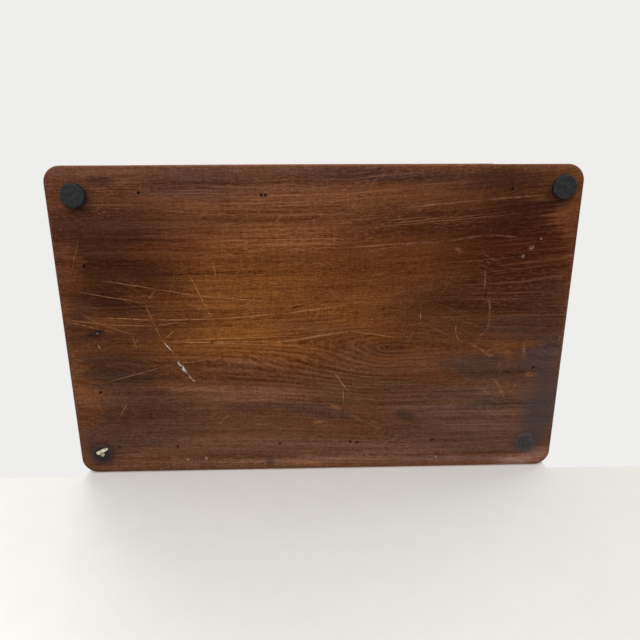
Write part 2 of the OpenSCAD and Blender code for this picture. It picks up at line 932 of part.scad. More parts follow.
module hinge_pins() {
    color(brass) for (s = [-1, 1]) translate([s * hinge_x, 0, 0]) hinge_axis(hinge_w, pin_r);
}

module case_hinge_screws() {
    color(brass) for (s = [-1, 1]) translate([s * hinge_x, 0, wall_top]) at_leaf_screws() screw();
}

module lid_hinge_screws() {
    color(brass) for (s = [-1, 1]) translate([s * hinge_x, 0, rim_low])
        at_leaf_screws() mirror([0, 0, 1]) screw();
}

// Lock

module at_lock_screws() {
    for (s = [-1, 1]) translate([s * lock_screw_x, lock_screw_y, wall_top]) children();
}

module lock_plate() {
    slot_w = staple_w + 2 * staple_fit;
    color(brass) difference() {
        union() {
            translate([-lock_w / 2, selvage_front, selvage_low]) cube([lock_w, selvage_d, lock_plate_t]);
            translate([-lock_w / 2, plate_front, wall_top - lock_h]) cube([lock_w, lock_plate_t, lock_h]);
            translate([0, plate_front + eps, key_z]) rotate([90, 0, 0])
                cylinder(r = key_pin_r, h = lock_case_d);
        }
        translate([staple_x - slot_w / 2, lock_case_front + lock_wall, selvage_low - eps])
            cube([slot_w, lock_case_d - lock_wall, lock_plate_t + 2 * eps]);
        at_lock_screws() screw_body(nail_fit);
    }
}

module lock_case() {
    h = selvage_low - lock_case_low;
    in_x = lock_case_w / 2 - lock_wall;
    color(brass) {
        difference() {
            translate([-lock_case_w / 2, lock_case_front, lock_case_low])
                cube([lock_case_w, lock_case_d, h]);
            translate([-in_x, lock_case_front + lock_wall, lock_case_low + lock_wall])
                cube([2 * in_x, lock_case_d, h]);
            translate([0, 0, key_z]) on_front(lock_case_front - eps, lock_wall + 2 * eps) keyhole();
        }
        translate([-in_x, lock_case_front + lock_wall, tail_low - bolt_fit - ledge_t])
            cube([in_x + nose_tip - nose_l, (tail_t - nose_t) / 2, ledge_t]);
    }
}

module lock_screws() {
    color(brass) at_lock_screws() screw();
}

// Bolt with a slim nose and a tail that the key turns in
module lock_bolt() {
    tail_x = nose_tip - nose_l;
    color(brass) {
        difference() {
            translate([tail_x - tail_l, bolt_y - tail_t / 2, tail_low])
                cube([tail_l, tail_t, tail_h]);
            translate([tail_x - tail_l / 2 - talon_w / 2, bolt_y - tail_t / 2 - eps, tail_low - eps])
                cube([talon_w, tail_t + 2 * eps, talon_h + eps]);
        }
        translate([tail_x - eps, bolt_y - nose_t / 2, nose_z - nose_h / 2])
            cube([nose_l + eps, nose_t, nose_h]);
    }
}

module at_staple_screws() {
    for (s = [-1, 1]) translate([s * lock_screw_x, lock_screw_y, rim_low]) mirror([0, 0, 1]) children();
}

// Plate on the lid with a hanging eye that the bolt goes through
module staple_plate() {
    eye_w = nose_t + 2 * staple_fit;
    eye_h = nose_h + 2 * staple_fit;
    outer_w = eye_w + 2 * staple_side;
    color(brass) difference() {
        union() {
            translate([-lock_w / 2, selvage_front, rim_low]) cube([lock_w, selvage_d, lock_plate_t]);
            translate([staple_x - staple_w / 2, bolt_y - outer_w / 2, staple_low])
                cube([staple_w, outer_w, staple_drop + eps]);
        }
        translate([staple_x - staple_w, bolt_y - eye_w / 2, nose_z - eye_h / 2])
            cube([2 * staple_w, eye_w, eye_h]);
        at_staple_screws() screw_body(nail_fit);
    }
}

module staple_screws() {
    color(brass) at_staple_screws() screw();
}

// Lid

module star_outline() {
    polygon([for (i = [0:15])
        let (r = i % 2 == 1 ? star_notch : (i % 4 == 0 ? star_long : star_short))
        r * [cos(22.5 * i), sin(22.5 * i)]]);
}

// One half of a point of the star, between its tip line and a notch
module star_half(i, side) {
    tip = i % 2 == 0 ? star_long : star_short;
    a = 45 * i;
    b = a + 22.5 * side;
    polygon([[0, 0], tip * [cos(a), sin(a)], star_notch * [cos(b), sin(b)]]);
}

// One blade of a quarter-round fan whose corner is on the origin
module fan_blade(i) {
    step = 90 / fan_blades;
    intersection() {
        circle(fan_r);
        polygon([[0, 0], 2 * fan_r * [cos(i * step), sin(i * step)],
            2 * fan_r * [cos((i + 1) * step), sin((i + 1) * step)]]);
    }
}

// Repeats a flat shape in the four corners of the lid's field
module at_fans() {
    for (sx = [0, 1], sy = [0, 1]) mirror([sx, 0]) mirror([0, sy])
        translate([-field_w / 2, -field_d / 2]) children();
}

// Sets a flat shape into the top of the lid
module on_lid(grow) {
    translate([0, 0, lid_top - inlay_t]) linear_extrude(inlay_t + grow) children();
}

module lid_board() {
    color(mahogany) difference() {
        translate([0, 0, rim_top]) edged_board() {
            thumb_edge(box_w / 2);
            thumb_edge(corner_r);
        }
        on_lid(eps) difference() {
            square([lid_string_w, lid_string_d], center = true);
            square([field_w, field_d], center = true);
        }
        on_lid(eps) circle(star_field_r);
        on_lid(eps) at_fans() quarter_disc(fan_r);
    }
}

module lid_front_rail() {
    color(mahogany) difference() {
        round_corners(rim_low, rim_h) pinned_board(rim_h, 1);
        translate([-lock_w / 2 - plate_fit, selvage_front - plate_fit, rim_low - eps])
            cube([lock_w + 2 * plate_fit, selvage_d + plate_fit + eps, lock_plate_t + plate_fit + eps]);
        at_staple_screws() screw_body(nail_fit);
    }
}

module lid_back_rail() {
    color(mahogany) difference() {
        round_corners(rim_low, rim_h) mirror([0, 1, 0]) pinned_board(rim_h, 1);
        for (s = [-1, 1]) translate([s * hinge_x, 0, 0]) {
            leaf_recess(selvage_z = rim_low);
            at_leaf_screws() translate([0, 0, rim_low]) mirror([0, 0, 1]) screw_body(nail_fit);
        }
    }
}

module lid_left_rail() {
    color(mahogany) round_corners(rim_low, rim_h) tailed_board(rim_h, 1);
}

module lid_right_rail() {
    color(mahogany) mirror([1, 0, 0]) round_corners(rim_low, rim_h) tailed_board(rim_h, 1);
}

module lid_stringing() {
    color(boxwood) on_lid(0) {
        string_line(lid_string_w, lid_string_d);
        string_line(field_w + 2 * string_w, field_d + 2 * string_w);
    }
}

// Band between the two lines, mitred into four strips
module lid_crossbanding() {
    color(satinwood) four_sides(box_w - 2 * band_in, box_d - 2 * band_in)
        on_lid(0) mitred_strip($across, $deep, band_w);
}

module star_ring() {
    color(boxwood) on_lid(0) difference() {
        circle(star_field_r);
        circle(star_field_r - star_ring_w);
    }
}

module star_field() {
    color(walnut) on_lid(0) difference() {
        circle(star_field_r - star_ring_w);
        star_outline();
    }
}

module star_light_points() {
    color(boxwood) for (i = [0:7]) on_lid(0) star_half(i, 1);
}

module star_dark_points() {
    color(ebony) for (i = [0:7]) on_lid(0) star_half(i, -1);
}

module light_fan_blades() {
    color(boxwood) on_lid(0) at_fans() for (i = [0:2:fan_blades - 1]) fan_blade(i);
}

module dark_fan_blades() {
    color(walnut) on_lid(0) at_fans() for (i = [1:2:fan_blades - 1]) fan_blade(i);
}

module mirror_glass() {
    reach = 2 * bead_cover - 2 * bead_w;
    color([0.75, 0.8, 0.82]) translate([0, 0, rim_top - mirror_t / 2])
        cube([in_w + reach, in_d + reach, mirror_t], center = true);
}

// Section of the beading: out from the rail along x, down from the lid along y
module bead_section() {
    difference() {
        union() {
            square([bead_w - bead_round, bead_h]);
            square([bead_w, bead_h - bead_round]);
            translate([bead_w - bead_round, bead_h - bead_round]) circle(bead_round);
        }
        translate([bead_w - bead_cover - panel_fit, -eps])
            square([bead_w, mirror_t + panel_fit + eps]);
    }
}

// Four mitred strips round the mirror
module mirror_beading() {
    color(mahogany) four_sides(in_w, in_d) intersection() {
        translate([-$across / 2, -$deep / 2, rim_top]) rotate([90, 0, 90]) mirror([0, 1])
            linear_extrude($across) bead_section();
        translate([0, 0, rim_top - bead_h]) linear_extrude(bead_h) mitred_strip($across, $deep, bead_w);
    }
}

// Drawer

// Left side of the drawer, with tails into its front
module drawer_side() {
    translate([-drawer_w / 2, 0, drawer_low]) {
        translate([0, drawer_front_back, 0])
            cube([drawer_side_t, drawer_end - drawer_front_back, drawer_side_h]);
        translate([0, drawer_front_back, 0]) mirror([0, 1, 0]) rotate([90, 0, 90])
            linear_extrude(drawer_side_t) tails(drawer_side_h, drawer_tails, tail_depth);
    }
}

// Room for the drawer's bottom in the pieces that hold it
module drawer_bottom_cut() {
    f = panel_fit;
    w = drawer_in_w + 2 * (drawer_groove + f);
    translate([-w / 2, drawer_front_back - drawer_groove - f, drawer_low + drawer_bottom_up - f])
        cube([w, drawer_len, drawer_bottom_t + 2 * f]);
}

module drawer_left_side() {
    color(cedar) difference() {
        drawer_side();
        drawer_bottom_cut();
    }
}

module drawer_right_side() {
    color(cedar) difference() {
        mirror([1, 0, 0]) drawer_side();
        drawer_bottom_cut();
    }
}

module drawer_string_shape() {
    translate([0, drawer_low + drawer_h / 2])
        string_line(drawer_w - 2 * drawer_string_in, drawer_h - 2 * drawer_string_in);
}

module at_knobs() {
    for (s = [-1, 1]) translate([s * knob_span / 2, drawer_face, knob_z]) rotate([90, 0, 0]) children();
}

module drawer_front() {
    color(mahogany) difference() {
        translate([-drawer_w / 2, drawer_face, drawer_low]) cube([drawer_w, drawer_front_t, drawer_h]);
        for (s = [0, 1]) mirror([s, 0, 0]) drawer_side();
        drawer_bottom_cut();
        on_front(drawer_face - eps, inlay_t + eps) drawer_string_shape();
        at_knobs() translate([0, 0, -drawer_front_t - eps])
            cylinder(d = knob_screw_d + 2 * nail_fit, h = drawer_front_t + 2 * eps);
    }
}

module drawer_back() {
    color(cedar) translate([-drawer_in_w / 2, drawer_end - drawer_side_t, drawer_floor + panel_fit])
        cube([drawer_in_w, drawer_side_t, drawer_low + drawer_side_h - drawer_floor - panel_fit]);
}

module drawer_bottom() {
    w = drawer_in_w + 2 * drawer_groove;
    color(cedar) translate([-w / 2, drawer_front_back - drawer_groove, drawer_low + drawer_bottom_up])
        cube([w, drawer_end - drawer_front_back + drawer_groove, drawer_bottom_t]);
}

module drawer_lining() {
    f = soft_fit;
    color(velvet) translate([-drawer_in_w / 2 + f, drawer_front_back + f, drawer_floor])
        cube([drawer_in_w - 2 * f, drawer_end - drawer_side_t - drawer_front_back - 2 * f, pad_t]);
}

// Turned knob: a rose, a waist and a domed head
module drawer_knobs() {
    rim_r = knob_head_t / 2;
    color(brass) at_knobs() difference() {
        union() {
            cylinder(d = rose_d, h = rose_t);
            cylinder(d = waist_d, h = knob_l - rim_r);
            translate([0, 0, knob_l - knob_head_t]) rotate_extrude() {
                square([knob_d / 2 - rim_r, knob_head_t]);
                intersection() {
                    translate([knob_d / 2 - rim_r, rim_r]) circle(rim_r);
                    square([knob_d, knob_head_t]);
                }
            }
        }
        translate([0, 0, -eps]) cylinder(d = knob_screw_d + 2 * nail_fit, h = knob_stud + nail_fit + eps);
    }
}

module knob_screws() {
    color(brass) at_knobs() translate([0, 0, -drawer_front_t]) {
        cylinder(d = knob_screw_d, h = drawer_front_t + knob_stud);
        difference() {
            translate([0, 0, -knob_screw_head_t]) cylinder(d = knob_screw_head_d, h = knob_screw_head_t);
            translate([-knob_screw_head_d / 2, -screw_slot / 2, -knob_screw_head_t - eps])
                cube([knob_screw_head_d, screw_slot, screw_slot]);
        }
    }
}

module drawer_stringing() {
    color(boxwood) on_front(drawer_face, inlay_t) drawer_string_shape();
}

base_board();
base_nails();
left_foot();
right_foot();
glue_patches();
front_wall();
back_wall();
left_wall();
right_wall();
well_floor();
left_drawer_guide();
right_drawer_guide();
drawer_stops();
floor_lining();
side_linings();
long_divider();
cross_dividers();
ring_rolls();
left_hinge_case_leaf();
right_hinge_case_leaf();
hinge_pins();
case_hinge_screws();
lock_plate();
lock_case();
lock_screws();
lock_bolt();
keyhole_escutcheon();
front_stringing();
side_stringing();
lid_board();
lid_front_rail();
lid_back_rail();
lid_left_rail();
lid_right_rail();
lid_stringing();
lid_crossbanding();
star_ring();
star_field();
star_light_points();
star_dark_points();
light_fan_blades();
dark_fan_blades();
mirror_glass();
mirror_beading();
left_hinge_lid_leaf();
right_hinge_lid_leaf();
lid_hinge_screws();
staple_plate();
staple_screws();
drawer_front();
drawer_left_side();
drawer_right_side();
drawer_back();
drawer_bottom();
drawer_lining();
drawer_knobs();
knob_screws();
drawer_stringing();
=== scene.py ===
import json
import math

import bpy
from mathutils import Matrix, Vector, noise


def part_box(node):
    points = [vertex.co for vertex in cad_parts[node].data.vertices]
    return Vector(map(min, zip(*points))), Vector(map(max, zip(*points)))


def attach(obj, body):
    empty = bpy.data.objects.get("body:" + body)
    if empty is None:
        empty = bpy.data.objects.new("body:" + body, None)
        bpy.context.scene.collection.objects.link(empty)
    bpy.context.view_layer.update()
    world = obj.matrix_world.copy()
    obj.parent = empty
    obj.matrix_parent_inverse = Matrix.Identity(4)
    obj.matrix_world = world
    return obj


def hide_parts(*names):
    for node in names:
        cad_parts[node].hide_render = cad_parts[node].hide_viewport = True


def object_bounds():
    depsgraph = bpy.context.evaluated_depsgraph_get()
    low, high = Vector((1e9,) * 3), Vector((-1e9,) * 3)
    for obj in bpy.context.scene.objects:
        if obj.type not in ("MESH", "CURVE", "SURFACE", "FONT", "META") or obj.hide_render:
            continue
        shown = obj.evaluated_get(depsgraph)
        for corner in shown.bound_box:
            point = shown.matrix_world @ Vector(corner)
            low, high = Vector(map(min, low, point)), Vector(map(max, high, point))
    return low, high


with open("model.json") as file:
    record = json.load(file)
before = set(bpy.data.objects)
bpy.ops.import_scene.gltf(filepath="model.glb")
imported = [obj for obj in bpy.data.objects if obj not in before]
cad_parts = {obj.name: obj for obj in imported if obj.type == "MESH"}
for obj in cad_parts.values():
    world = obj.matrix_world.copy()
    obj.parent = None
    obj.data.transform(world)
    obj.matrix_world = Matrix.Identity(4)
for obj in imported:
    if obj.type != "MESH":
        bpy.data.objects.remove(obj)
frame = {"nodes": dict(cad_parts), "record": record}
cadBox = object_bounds()
cadNodes = frame["nodes"]
slotOf = {row["node"]: row["material_slot"] for row in frame["record"]["subparts"]}
mm = 0.001
print("frame loaded:", len(cadNodes), "nodes")


def coat(node, paint):
    cadNodes[node].data.materials.clear()
    cadNodes[node].data.materials.append(paint)


class Sock:
    # wraps a shader socket, so that sums on it add Math nodes
    def __init__(self, tree, out):
        self.tree = tree
        self.out = out

    def add(self, kind, settings, values, out=0):
        node = self.tree.nodes.new("ShaderNode" + kind)
        for key, setting in settings.items():
            if key == "stops":
                setStops(node.color_ramp, setting)
            else:
                setattr(node, key, setting)
        for key, value in values.items():
            if isinstance(value, Sock):
                self.tree.links.new(value.out, node.inputs[key])
            else:
                node.inputs[key].default_value = value
        return Sock(self.tree, node.outputs[out]) if node.outputs else None

    def calc(self, operation, *numbers):
        return self.add("Math", {"operation": operation}, dict(enumerate(numbers)))

    def __add__(self, other):
        return self.calc("ADD", self, other)

    def __sub__(self, other):
        return self.calc("SUBTRACT", self, other)

    def __rsub__(self, other):
        return self.calc("SUBTRACT", other, self)

    def __mul__(self, other):
        return self.calc("MULTIPLY", self, other)

    def __truediv__(self, other):
        return self.calc("DIVIDE", self, other)

    def __abs__(self):
        return self.calc("ABSOLUTE", self)

    __radd__ = __add__
    __rmul__ = __mul__

    def least(self, other):
        return self.calc("MINIMUM", self, other)

    def most(self, other):
        return self.calc("MAXIMUM", self, other)

    def fade(self, start, end):
        # 0 at start and before, 1 at end and after; start may be the larger
        values = {0: self, 1: start, 2: end}
        return self.add("MapRange", {"interpolation_type": "SMOOTHSTEP"}, values)


def setStops(ramp, stops):
    while len(ramp.elements) < len(stops):
        ramp.elements.new(1.0)
    for element, (position, colour) in zip(ramp.elements, stops):
        element.position = position
        element.color = colour


def linear(value):
    share = value / 255
    return share / 12.92 if share <= 0.04045 else ((share + 0.055) / 1.055) ** 2.4


def rgb(red, green, blue):
    return (linear(red), linear(green), linear(blue), 1.0)


def startPaint(name):
    paint = bpy.data.materials.new(name)
    paint.use_nodes = True
    tree = paint.node_tree
    tree.nodes.clear()
    metres = Sock(tree, tree.nodes.new("ShaderNodeTexCoord").outputs["Object"])
    return paint, stretch(metres, 1000, 1000, 1000)     # places in millimetres


def finishPaint(paint, place, values, height=None, depth=0.1):
    if height is not None:
        bump = place.add("Bump", {}, {"Strength": 1.0, "Distance": depth * mm, "Height": height})
        values = {**values, "Normal": bump}
    surface = place.add("BsdfPrincipled", {}, values)
    place.add("OutputMaterial", {}, {"Surface": surface})
    return paint


def stretch(place, x, y, z):
    return place.add("VectorMath", {"operation": "MULTIPLY"}, {0: place, 1: (x, y, z)})


def axes(place):
    return [place.add("SeparateXYZ", {}, {0: place}, out) for out in (0, 1, 2)]


def join(x, y, z):
    return x.add("CombineXYZ", {}, {0: x, 1: y, 2: z})


def clouds(place, scale, detail=2.0, rough=0.5, out=0):
    values = {"Vector": place, "Scale": scale, "Detail": detail, "Roughness": rough}
    return place.add("TexNoise", {}, values, out)


def streaks(place, along, across, detail=2.0, rough=0.5):
    return clouds(stretch(place, along, across, across), 1.0, detail, rough)


def mixed(below, above, share, mode="MIX"):
    sock = next(item for item in (share, below, above) if isinstance(item, Sock))
    return sock.add("Mix", {"data_type": "RGBA", "blend_type": mode}, {0: share, 6: below, 7: above}, 2)


def wander(place, scale, size, drawn=1.0):
    # pushes places about by a few millimetres, so that marks are not ruled
    # drawn is how much longer the push is along x
    push = clouds(stretch(place, scale / drawn, scale, scale), 1.0, 3.0, 0.6, 1)
    push = push.add("VectorMath", {"operation": "SUBTRACT"}, {0: push, 1: (0.5, 0.5, 0.5)})
    pushed = {0: push, 1: (size * drawn, size, size), 2: place}
    return push.add("VectorMath", {"operation": "MULTIPLY_ADD"}, pushed)


def shifted(place, seed, x, y, z):
    # a place far off in the noise, so that no two pieces are alike
    return place.add("Mapping", {}, {"Vector": place, "Location": (seed * x, seed * y, seed * z)})


def edgeGap(place, node):
    # distance to the nearest outer edge of a piece: the middle one of its three distances to faces
    gaps = []
    for part, low, high in zip(axes(place), *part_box(node)):
        gaps.append((high - low) / 2 / mm - abs(part - (low + high) / 2 / mm))
    first, second, third = gaps
    return first.least(second).most(first.most(second).least(third))


def oval(place, x, y, halfLong, halfWide, turn=0.0):
    # 0 in the middle of an oval mark, 1 on its rim
    values = {
        "Vector": place,
        "Location": (x, y, 0.0),
        "Rotation": (0.0, 0.0, math.radians(turn)),
        "Scale": (halfLong, halfWide, 1000.0),
    }
    inside = place.add("Mapping", {"vector_type": "TEXTURE"}, values)
    return place.add("VectorMath", {"operation": "LENGTH"}, {0: inside}, 1)


def strokes(place, lines):
    # each line is its width and its points in order; every stretch is a slim oval
    closest = None
    for wide, points in lines:
        for (x0, y0), (x1, y1) in zip(points, points[1:]):
            long = math.hypot(x1 - x0, y1 - y0)
            turn = math.degrees(math.atan2(y1 - y0, x1 - x0))
            mark = oval(place, (x0 + x1) / 2, (y0 + y1) / 2, long * 0.58, wide / 2, turn)
            closest = closest.least(mark) if closest else mark
    return closest


def layers(lines, count):
    return [lines[first:first + count] for first in range(0, len(lines), count)]


grainTurn = {"x": (0, 0, 0), "y": (0, 0, -math.pi / 2), "z": (0, math.pi / 2, 0)}

timber = {
    "mahogany": {
        "dark": rgb(60, 30, 21), "mid": rgb(103, 55, 35), "light": rgb(143, 85, 54),
        "pore": rgb(40, 20, 14), "worn": rgb(172, 118, 78), "rough": 0.36, "coat": 0.35,
    },
    "cedar": {
        "dark": rgb(116, 70, 46), "mid": rgb(154, 99, 66), "light": rgb(184, 130, 92),
        "pore": rgb(92, 54, 36), "worn": rgb(196, 150, 112), "rough": 0.62, "coat": 0.0,
    },
    "boxwood": {
        "dark": rgb(178, 142, 84), "mid": rgb(208, 174, 112), "light": rgb(226, 198, 142),
        "pore": rgb(150, 116, 66), "worn": rgb(196, 164, 108), "rough": 0.34, "coat": 0.35,
    },
    "satinwood": {
        "dark": rgb(158, 106, 52), "mid": rgb(194, 144, 78), "light": rgb(218, 174, 106),
        "pore": rgb(128, 84, 42), "worn": rgb(190, 144, 84), "rough": 0.3, "coat": 0.4,
    },
    "walnut": {
        "dark": rgb(48, 31, 22), "mid": rgb(78, 52, 35), "light": rgb(106, 75, 52),
        "pore": rgb(30, 19, 14), "worn": rgb(120, 88, 62), "rough": 0.36, "coat": 0.35,
    },
    "ebony": {
        "dark": rgb(20, 17, 16), "mid": rgb(33, 28, 26), "light": rgb(50, 43, 40),
        "pore": rgb(12, 10, 10), "worn": rgb(64, 56, 50), "rough": 0.3, "coat": 0.35,
    },
}


def woodColour(board, wood, fineness=1.0):
    # board has its grain along the first axis, in millimetres
    sway = clouds(stretch(board, 0.007, 0.02, 0.02), 1.0, 2.0, 0.5, 1)
    push = {0: sway, 1: (0.0, 20.0 / fineness, 20.0 / fineness), 2: board}
    bent = board.add("VectorMath", {"operation": "MULTIPLY_ADD"}, push)
    bands = streaks(bent, 0.004, 0.085 * fineness)
    lines = streaks(bent, 0.012, 0.55 * fineness, 3.0)
    fibre = streaks(bent, 0.07, 3.6 * fineness)
    pores = streaks(bent, 0.11, 2.4 * fineness, 2.0, 0.7).fade(0.58, 0.7)
    tone = bands * 0.46 + lines * 0.34 + fibre * 0.2
    stops = [(0.36, wood["dark"]), (0.5, wood["mid"]), (0.64, wood["light"])]
    colour = tone.add("ValToRGB", {"stops": stops}, {0: tone})
    return mixed(colour, wood["pore"], pores * 0.55), fibre - pores * 0.8


def paintWood(name, kind, axis, seed, node=None):
    wood = timber[kind]
    paint, place = startPaint(name)
    shift = (seed * 37.0, seed * 23.0, seed * 51.0)
    board = place.add("Mapping", {}, {"Vector": place, "Location": shift, "Rotation": grainTurn[axis]})
    colour, relief = woodColour(board, wood)
    patches = clouds(place, 0.03, 2.0)
    rough = wood["rough"] + (patches - 0.5) * 0.3
    if node:
        ragged = clouds(place, 0.4, 3.0, 0.6) * 3.4
        worn = (edgeGap(place, node) + ragged).fade(2.3, 1.2)
        colour = mixed(colour, wood["worn"], worn * 0.55)
        rough = rough + worn * 0.2
    values = {
        "Base Color": colour, "Roughness": rough, "Specular IOR Level": 0.4,
        "Coat Weight": wood["coat"], "Coat Roughness": 0.22,
    }
    return finishPaint(paint, place, values, relief, 0.05)


# which way the grain runs on each wooden piece
grainOf = {
    "front_wall": "x", "back_wall": "x", "left_wall": "y", "right_wall": "y",
    "well_floor": "x", "left_drawer_guide": "y", "right_drawer_guide": "y", "drawer_stops": "x",
    "long_divider": "x", "cross_dividers": "y",
    "lid_board": "x", "lid_front_rail": "x", "lid_back_rail": "x", "lid_left_rail": "y", "lid_right_rail": "y",
    "drawer_front": "x", "drawer_left_side": "y", "drawer_right_side": "y",
    "drawer_back": "x", "drawer_bottom": "x",
}
for seed, (node, axis) in enumerate(grainOf.items()):
    title = node.replace("_", " ") + " " + slotOf[node]
    coat(node, paintWood(title, slotOf[node], axis, seed + 1, node))
print("plain wooden pieces painted:", len(grainOf))


def paintStrips(node, plane, across, fineness):
    # strips round a rectangle: the grain follows each strip, or crosses it on a crossband
    wood = timber[slotOf[node]]
    paint, place = startPaint(node.replace("_", " ") + " " + slotOf[node])
    parts = dict(zip("xyz", axes(place)))
    gaps = {}
    for letter, low, high in zip("xyz", *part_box(node)):
        gaps[letter] = (high - low) / 2 / mm - abs(parts[letter] - (low + high) / 2 / mm)
    level, upright = plane
    onUpright = (gaps[upright] - gaps[level]).fade(-0.05, 0.05)
    turned = 1 - onUpright if across else onUpright
    along = parts[level] + (parts[upright] - parts[level]) * turned
    over = parts[upright] + (parts[level] - parts[upright]) * turned
    rest = next(part for letter, part in parts.items() if letter not in plane)
    colour, relief = woodColour(join(along, over, rest), wood, fineness)
    dull = clouds(place, 0.05, 2.0)
    colour = mixed(colour, wood["pore"], dull.fade(0.5, 0.75) * 0.35)
    values = {
        "Base Color": colour, "Roughness": wood["rough"] + (dull - 0.5) * 0.3, "Specular IOR Level": 0.4,
        "Coat Weight": wood["coat"], "Coat Roughness": 0.22,
    }
    return finishPaint(paint, place, values, relief, 0.03)


def paintRays(name, kind, corner, blade, burn):
    # grain runs out from a middle point; each blade is scorched towards one side in hot sand
    wood = timber[kind]
    paint, place = startPaint(name)
    x, y, z = axes(place)
    if corner:
        x, y = corner[0] - abs(x), corner[1] - abs(y)
    else:
        turned = place.add("Mapping", {}, {"Vector": place, "Rotation": (0, 0, math.radians(blade / 2))})
        x, y, z = axes(turned)
    angle = x.calc("ARCTAN2", y, x) * (180 / math.pi)
    far = x.calc("SQRT", x * x + y * y)
    colour, relief = woodColour(join(far, angle * 0.5, z), wood, 2.0)
    shade = x.calc("FRACT", angle / blade + 8.0)
    colour = mixed(colour, rgb(58, 34, 20), shade.fade(0.35, 1.0) * burn)
    values = {
        "Base Color": colour, "Roughness": wood["rough"], "Specular IOR Level": 0.4,
        "Coat Weight": wood["coat"], "Coat Roughness": 0.22,
    }
    return finishPaint(paint, place, values, relief, 0.03)


fanCorner = (130.2, 72.2)
fanBlade, starPoint = 15.0, 45.0                        # degrees that a blade or a point takes up
inlay = {
    "lid_stringing": paintStrips("lid_stringing", "xy", False, 3.0),
    "lid_crossbanding": paintStrips("lid_crossbanding", "xy", True, 1.6),
    "front_stringing": paintStrips("front_stringing", "xz", False, 3.0),
    "drawer_stringing": paintStrips("drawer_stringing", "xz", False, 3.0),
    "side_stringing": paintStrips("side_stringing", "yz", False, 3.0),
    "mirror_beading": paintStrips("mirror_beading", "xy", False, 1.5),
    "star_ring": paintRays("star ring boxwood", "boxwood", None, starPoint, 0.0),
    "star_field": paintRays("star ground walnut", "walnut", None, starPoint, 0.0),
    "keyhole_escutcheon": paintWood("boxwood escutcheon", "boxwood", "x", 31),
}
# title, corner that the grain runs out from, width of a ray, scorching
rays = {
    "star_light_points": ("light star points", None, starPoint, 0.25),
    "star_dark_points": ("dark star points", None, starPoint, 0.2),
    "light_fan_blades": ("light fan blades", fanCorner, fanBlade, 0.75),
    "dark_fan_blades": ("dark fan blades", fanCorner, fanBlade, 0.4),
}
for node, (title, corner, blade, burn) in rays.items():
    inlay[node] = paintRays(title, slotOf[node], corner, blade, burn)
for node, paint in inlay.items():
    coat(node, paint)
print("inlay painted")


metals = {
    "brass": {
        "clean": rgb(196, 156, 86), "dull": rgb(134, 98, 50), "dirt": rgb(62, 46, 28),
        "rough": 0.34, "metallic": 1.0,
    },
    "steel": {
        "clean": rgb(120, 114, 108), "dull": rgb(84, 74, 68), "dirt": rgb(70, 40, 24),
        "rough": 0.46, "metallic": 0.9,
    },
}


def paintMetal(name, kind, seed, tarnish):
    metal = metals[kind]
    paint, place = startPaint(name)
    moved = shifted(place, seed, 31.0, 17.0, 43.0)
    patina = clouds(moved, 0.1, 4.0, 0.6)
    spots = clouds(moved, 1.1, 3.0, 0.6)
    rubbed = streaks(moved, 0.12, 4.0)
    grime = spots.fade(0.6, 0.78)
    colour = mixed(metal["clean"], metal["dull"], patina.fade(0.36, 0.7) * 0.7 + tarnish)
    colour = mixed(colour, metal["dirt"], grime * 0.5)
    rough = metal["rough"] + (patina - 0.5) * 0.3 + grime * 0.25 + (rubbed - 0.5) * 0.1
    values = {"Base Color": colour, "Roughness": rough, "Metallic": metal["metallic"] - grime * 0.5}
    return finishPaint(paint, place, values, rubbed * 0.4 + spots, 0.03)


metalNodes = [node for node, slot in slotOf.items() if slot in metals]
for seed, node in enumerate(metalNodes):
    tarnish = 0.9 if "screws" in node else 0.0          # screw heads are seldom rubbed bright
    coat(node, paintMetal(node.replace("_", " ") + " metal", slotOf[node], seed, tarnish))
print("metal painted:", len(metalNodes))


mirrorLook = {"silver": rgb(206, 210, 208), "foxing": rgb(92, 84, 70), "haze": rgb(168, 172, 168)}


def paintMirror():
    paint, place = startPaint("old mirror glass")
    gap = edgeGap(place, "mirror_glass")
    spots = clouds(place, 0.12, 5.0, 0.65)
    spoiled = (gap * 0.02 + spots).fade(0.5, 0.36)
    colour = mixed(mirrorLook["silver"], mirrorLook["haze"], clouds(place, 0.02, 3.0).fade(0.4, 0.7) * 0.6)
    colour = mixed(colour, mirrorLook["foxing"], spoiled * 0.85)
    values = {
        "Base Color": colour, "Metallic": 1 - spoiled * 0.5, "Roughness": 0.04 + spoiled * 0.35,
        "Coat Weight": 0.6, "Coat Roughness": 0.03,
    }
    return finishPaint(paint, place, values)


coat("mirror_glass", paintMirror())

footLook = {"black": rgb(33, 33, 34), "grey": rgb(49, 49, 49), "dust": rgb(96, 92, 88)}


def paintFoot(name, seed):
    paint, place = startPaint(name)
    moved = shifted(place, seed, 19.0, 29.0, 0.0)
    mottle = clouds(moved, 0.5, 4.0, 0.6)
    grit = clouds(moved, 3.2, 3.0, 0.6)
    colour = mixed(footLook["black"], footLook["grey"], mottle.fade(0.4, 0.7))
    colour = mixed(colour, footLook["dust"], grit.fade(0.6, 0.75) * 0.3)
    values = {"Base Color": colour, "Roughness": 0.72 + (mottle - 0.5) * 0.3, "Specular IOR Level": 0.35}
    return finishPaint(paint, place, values, mottle + grit * 0.6, 0.12)


for seed, node in enumerate(("left_foot", "right_foot")):
    coat(node, paintFoot(node.replace("_", " ") + " rubber", seed + 1))
print("mirror and feet painted")


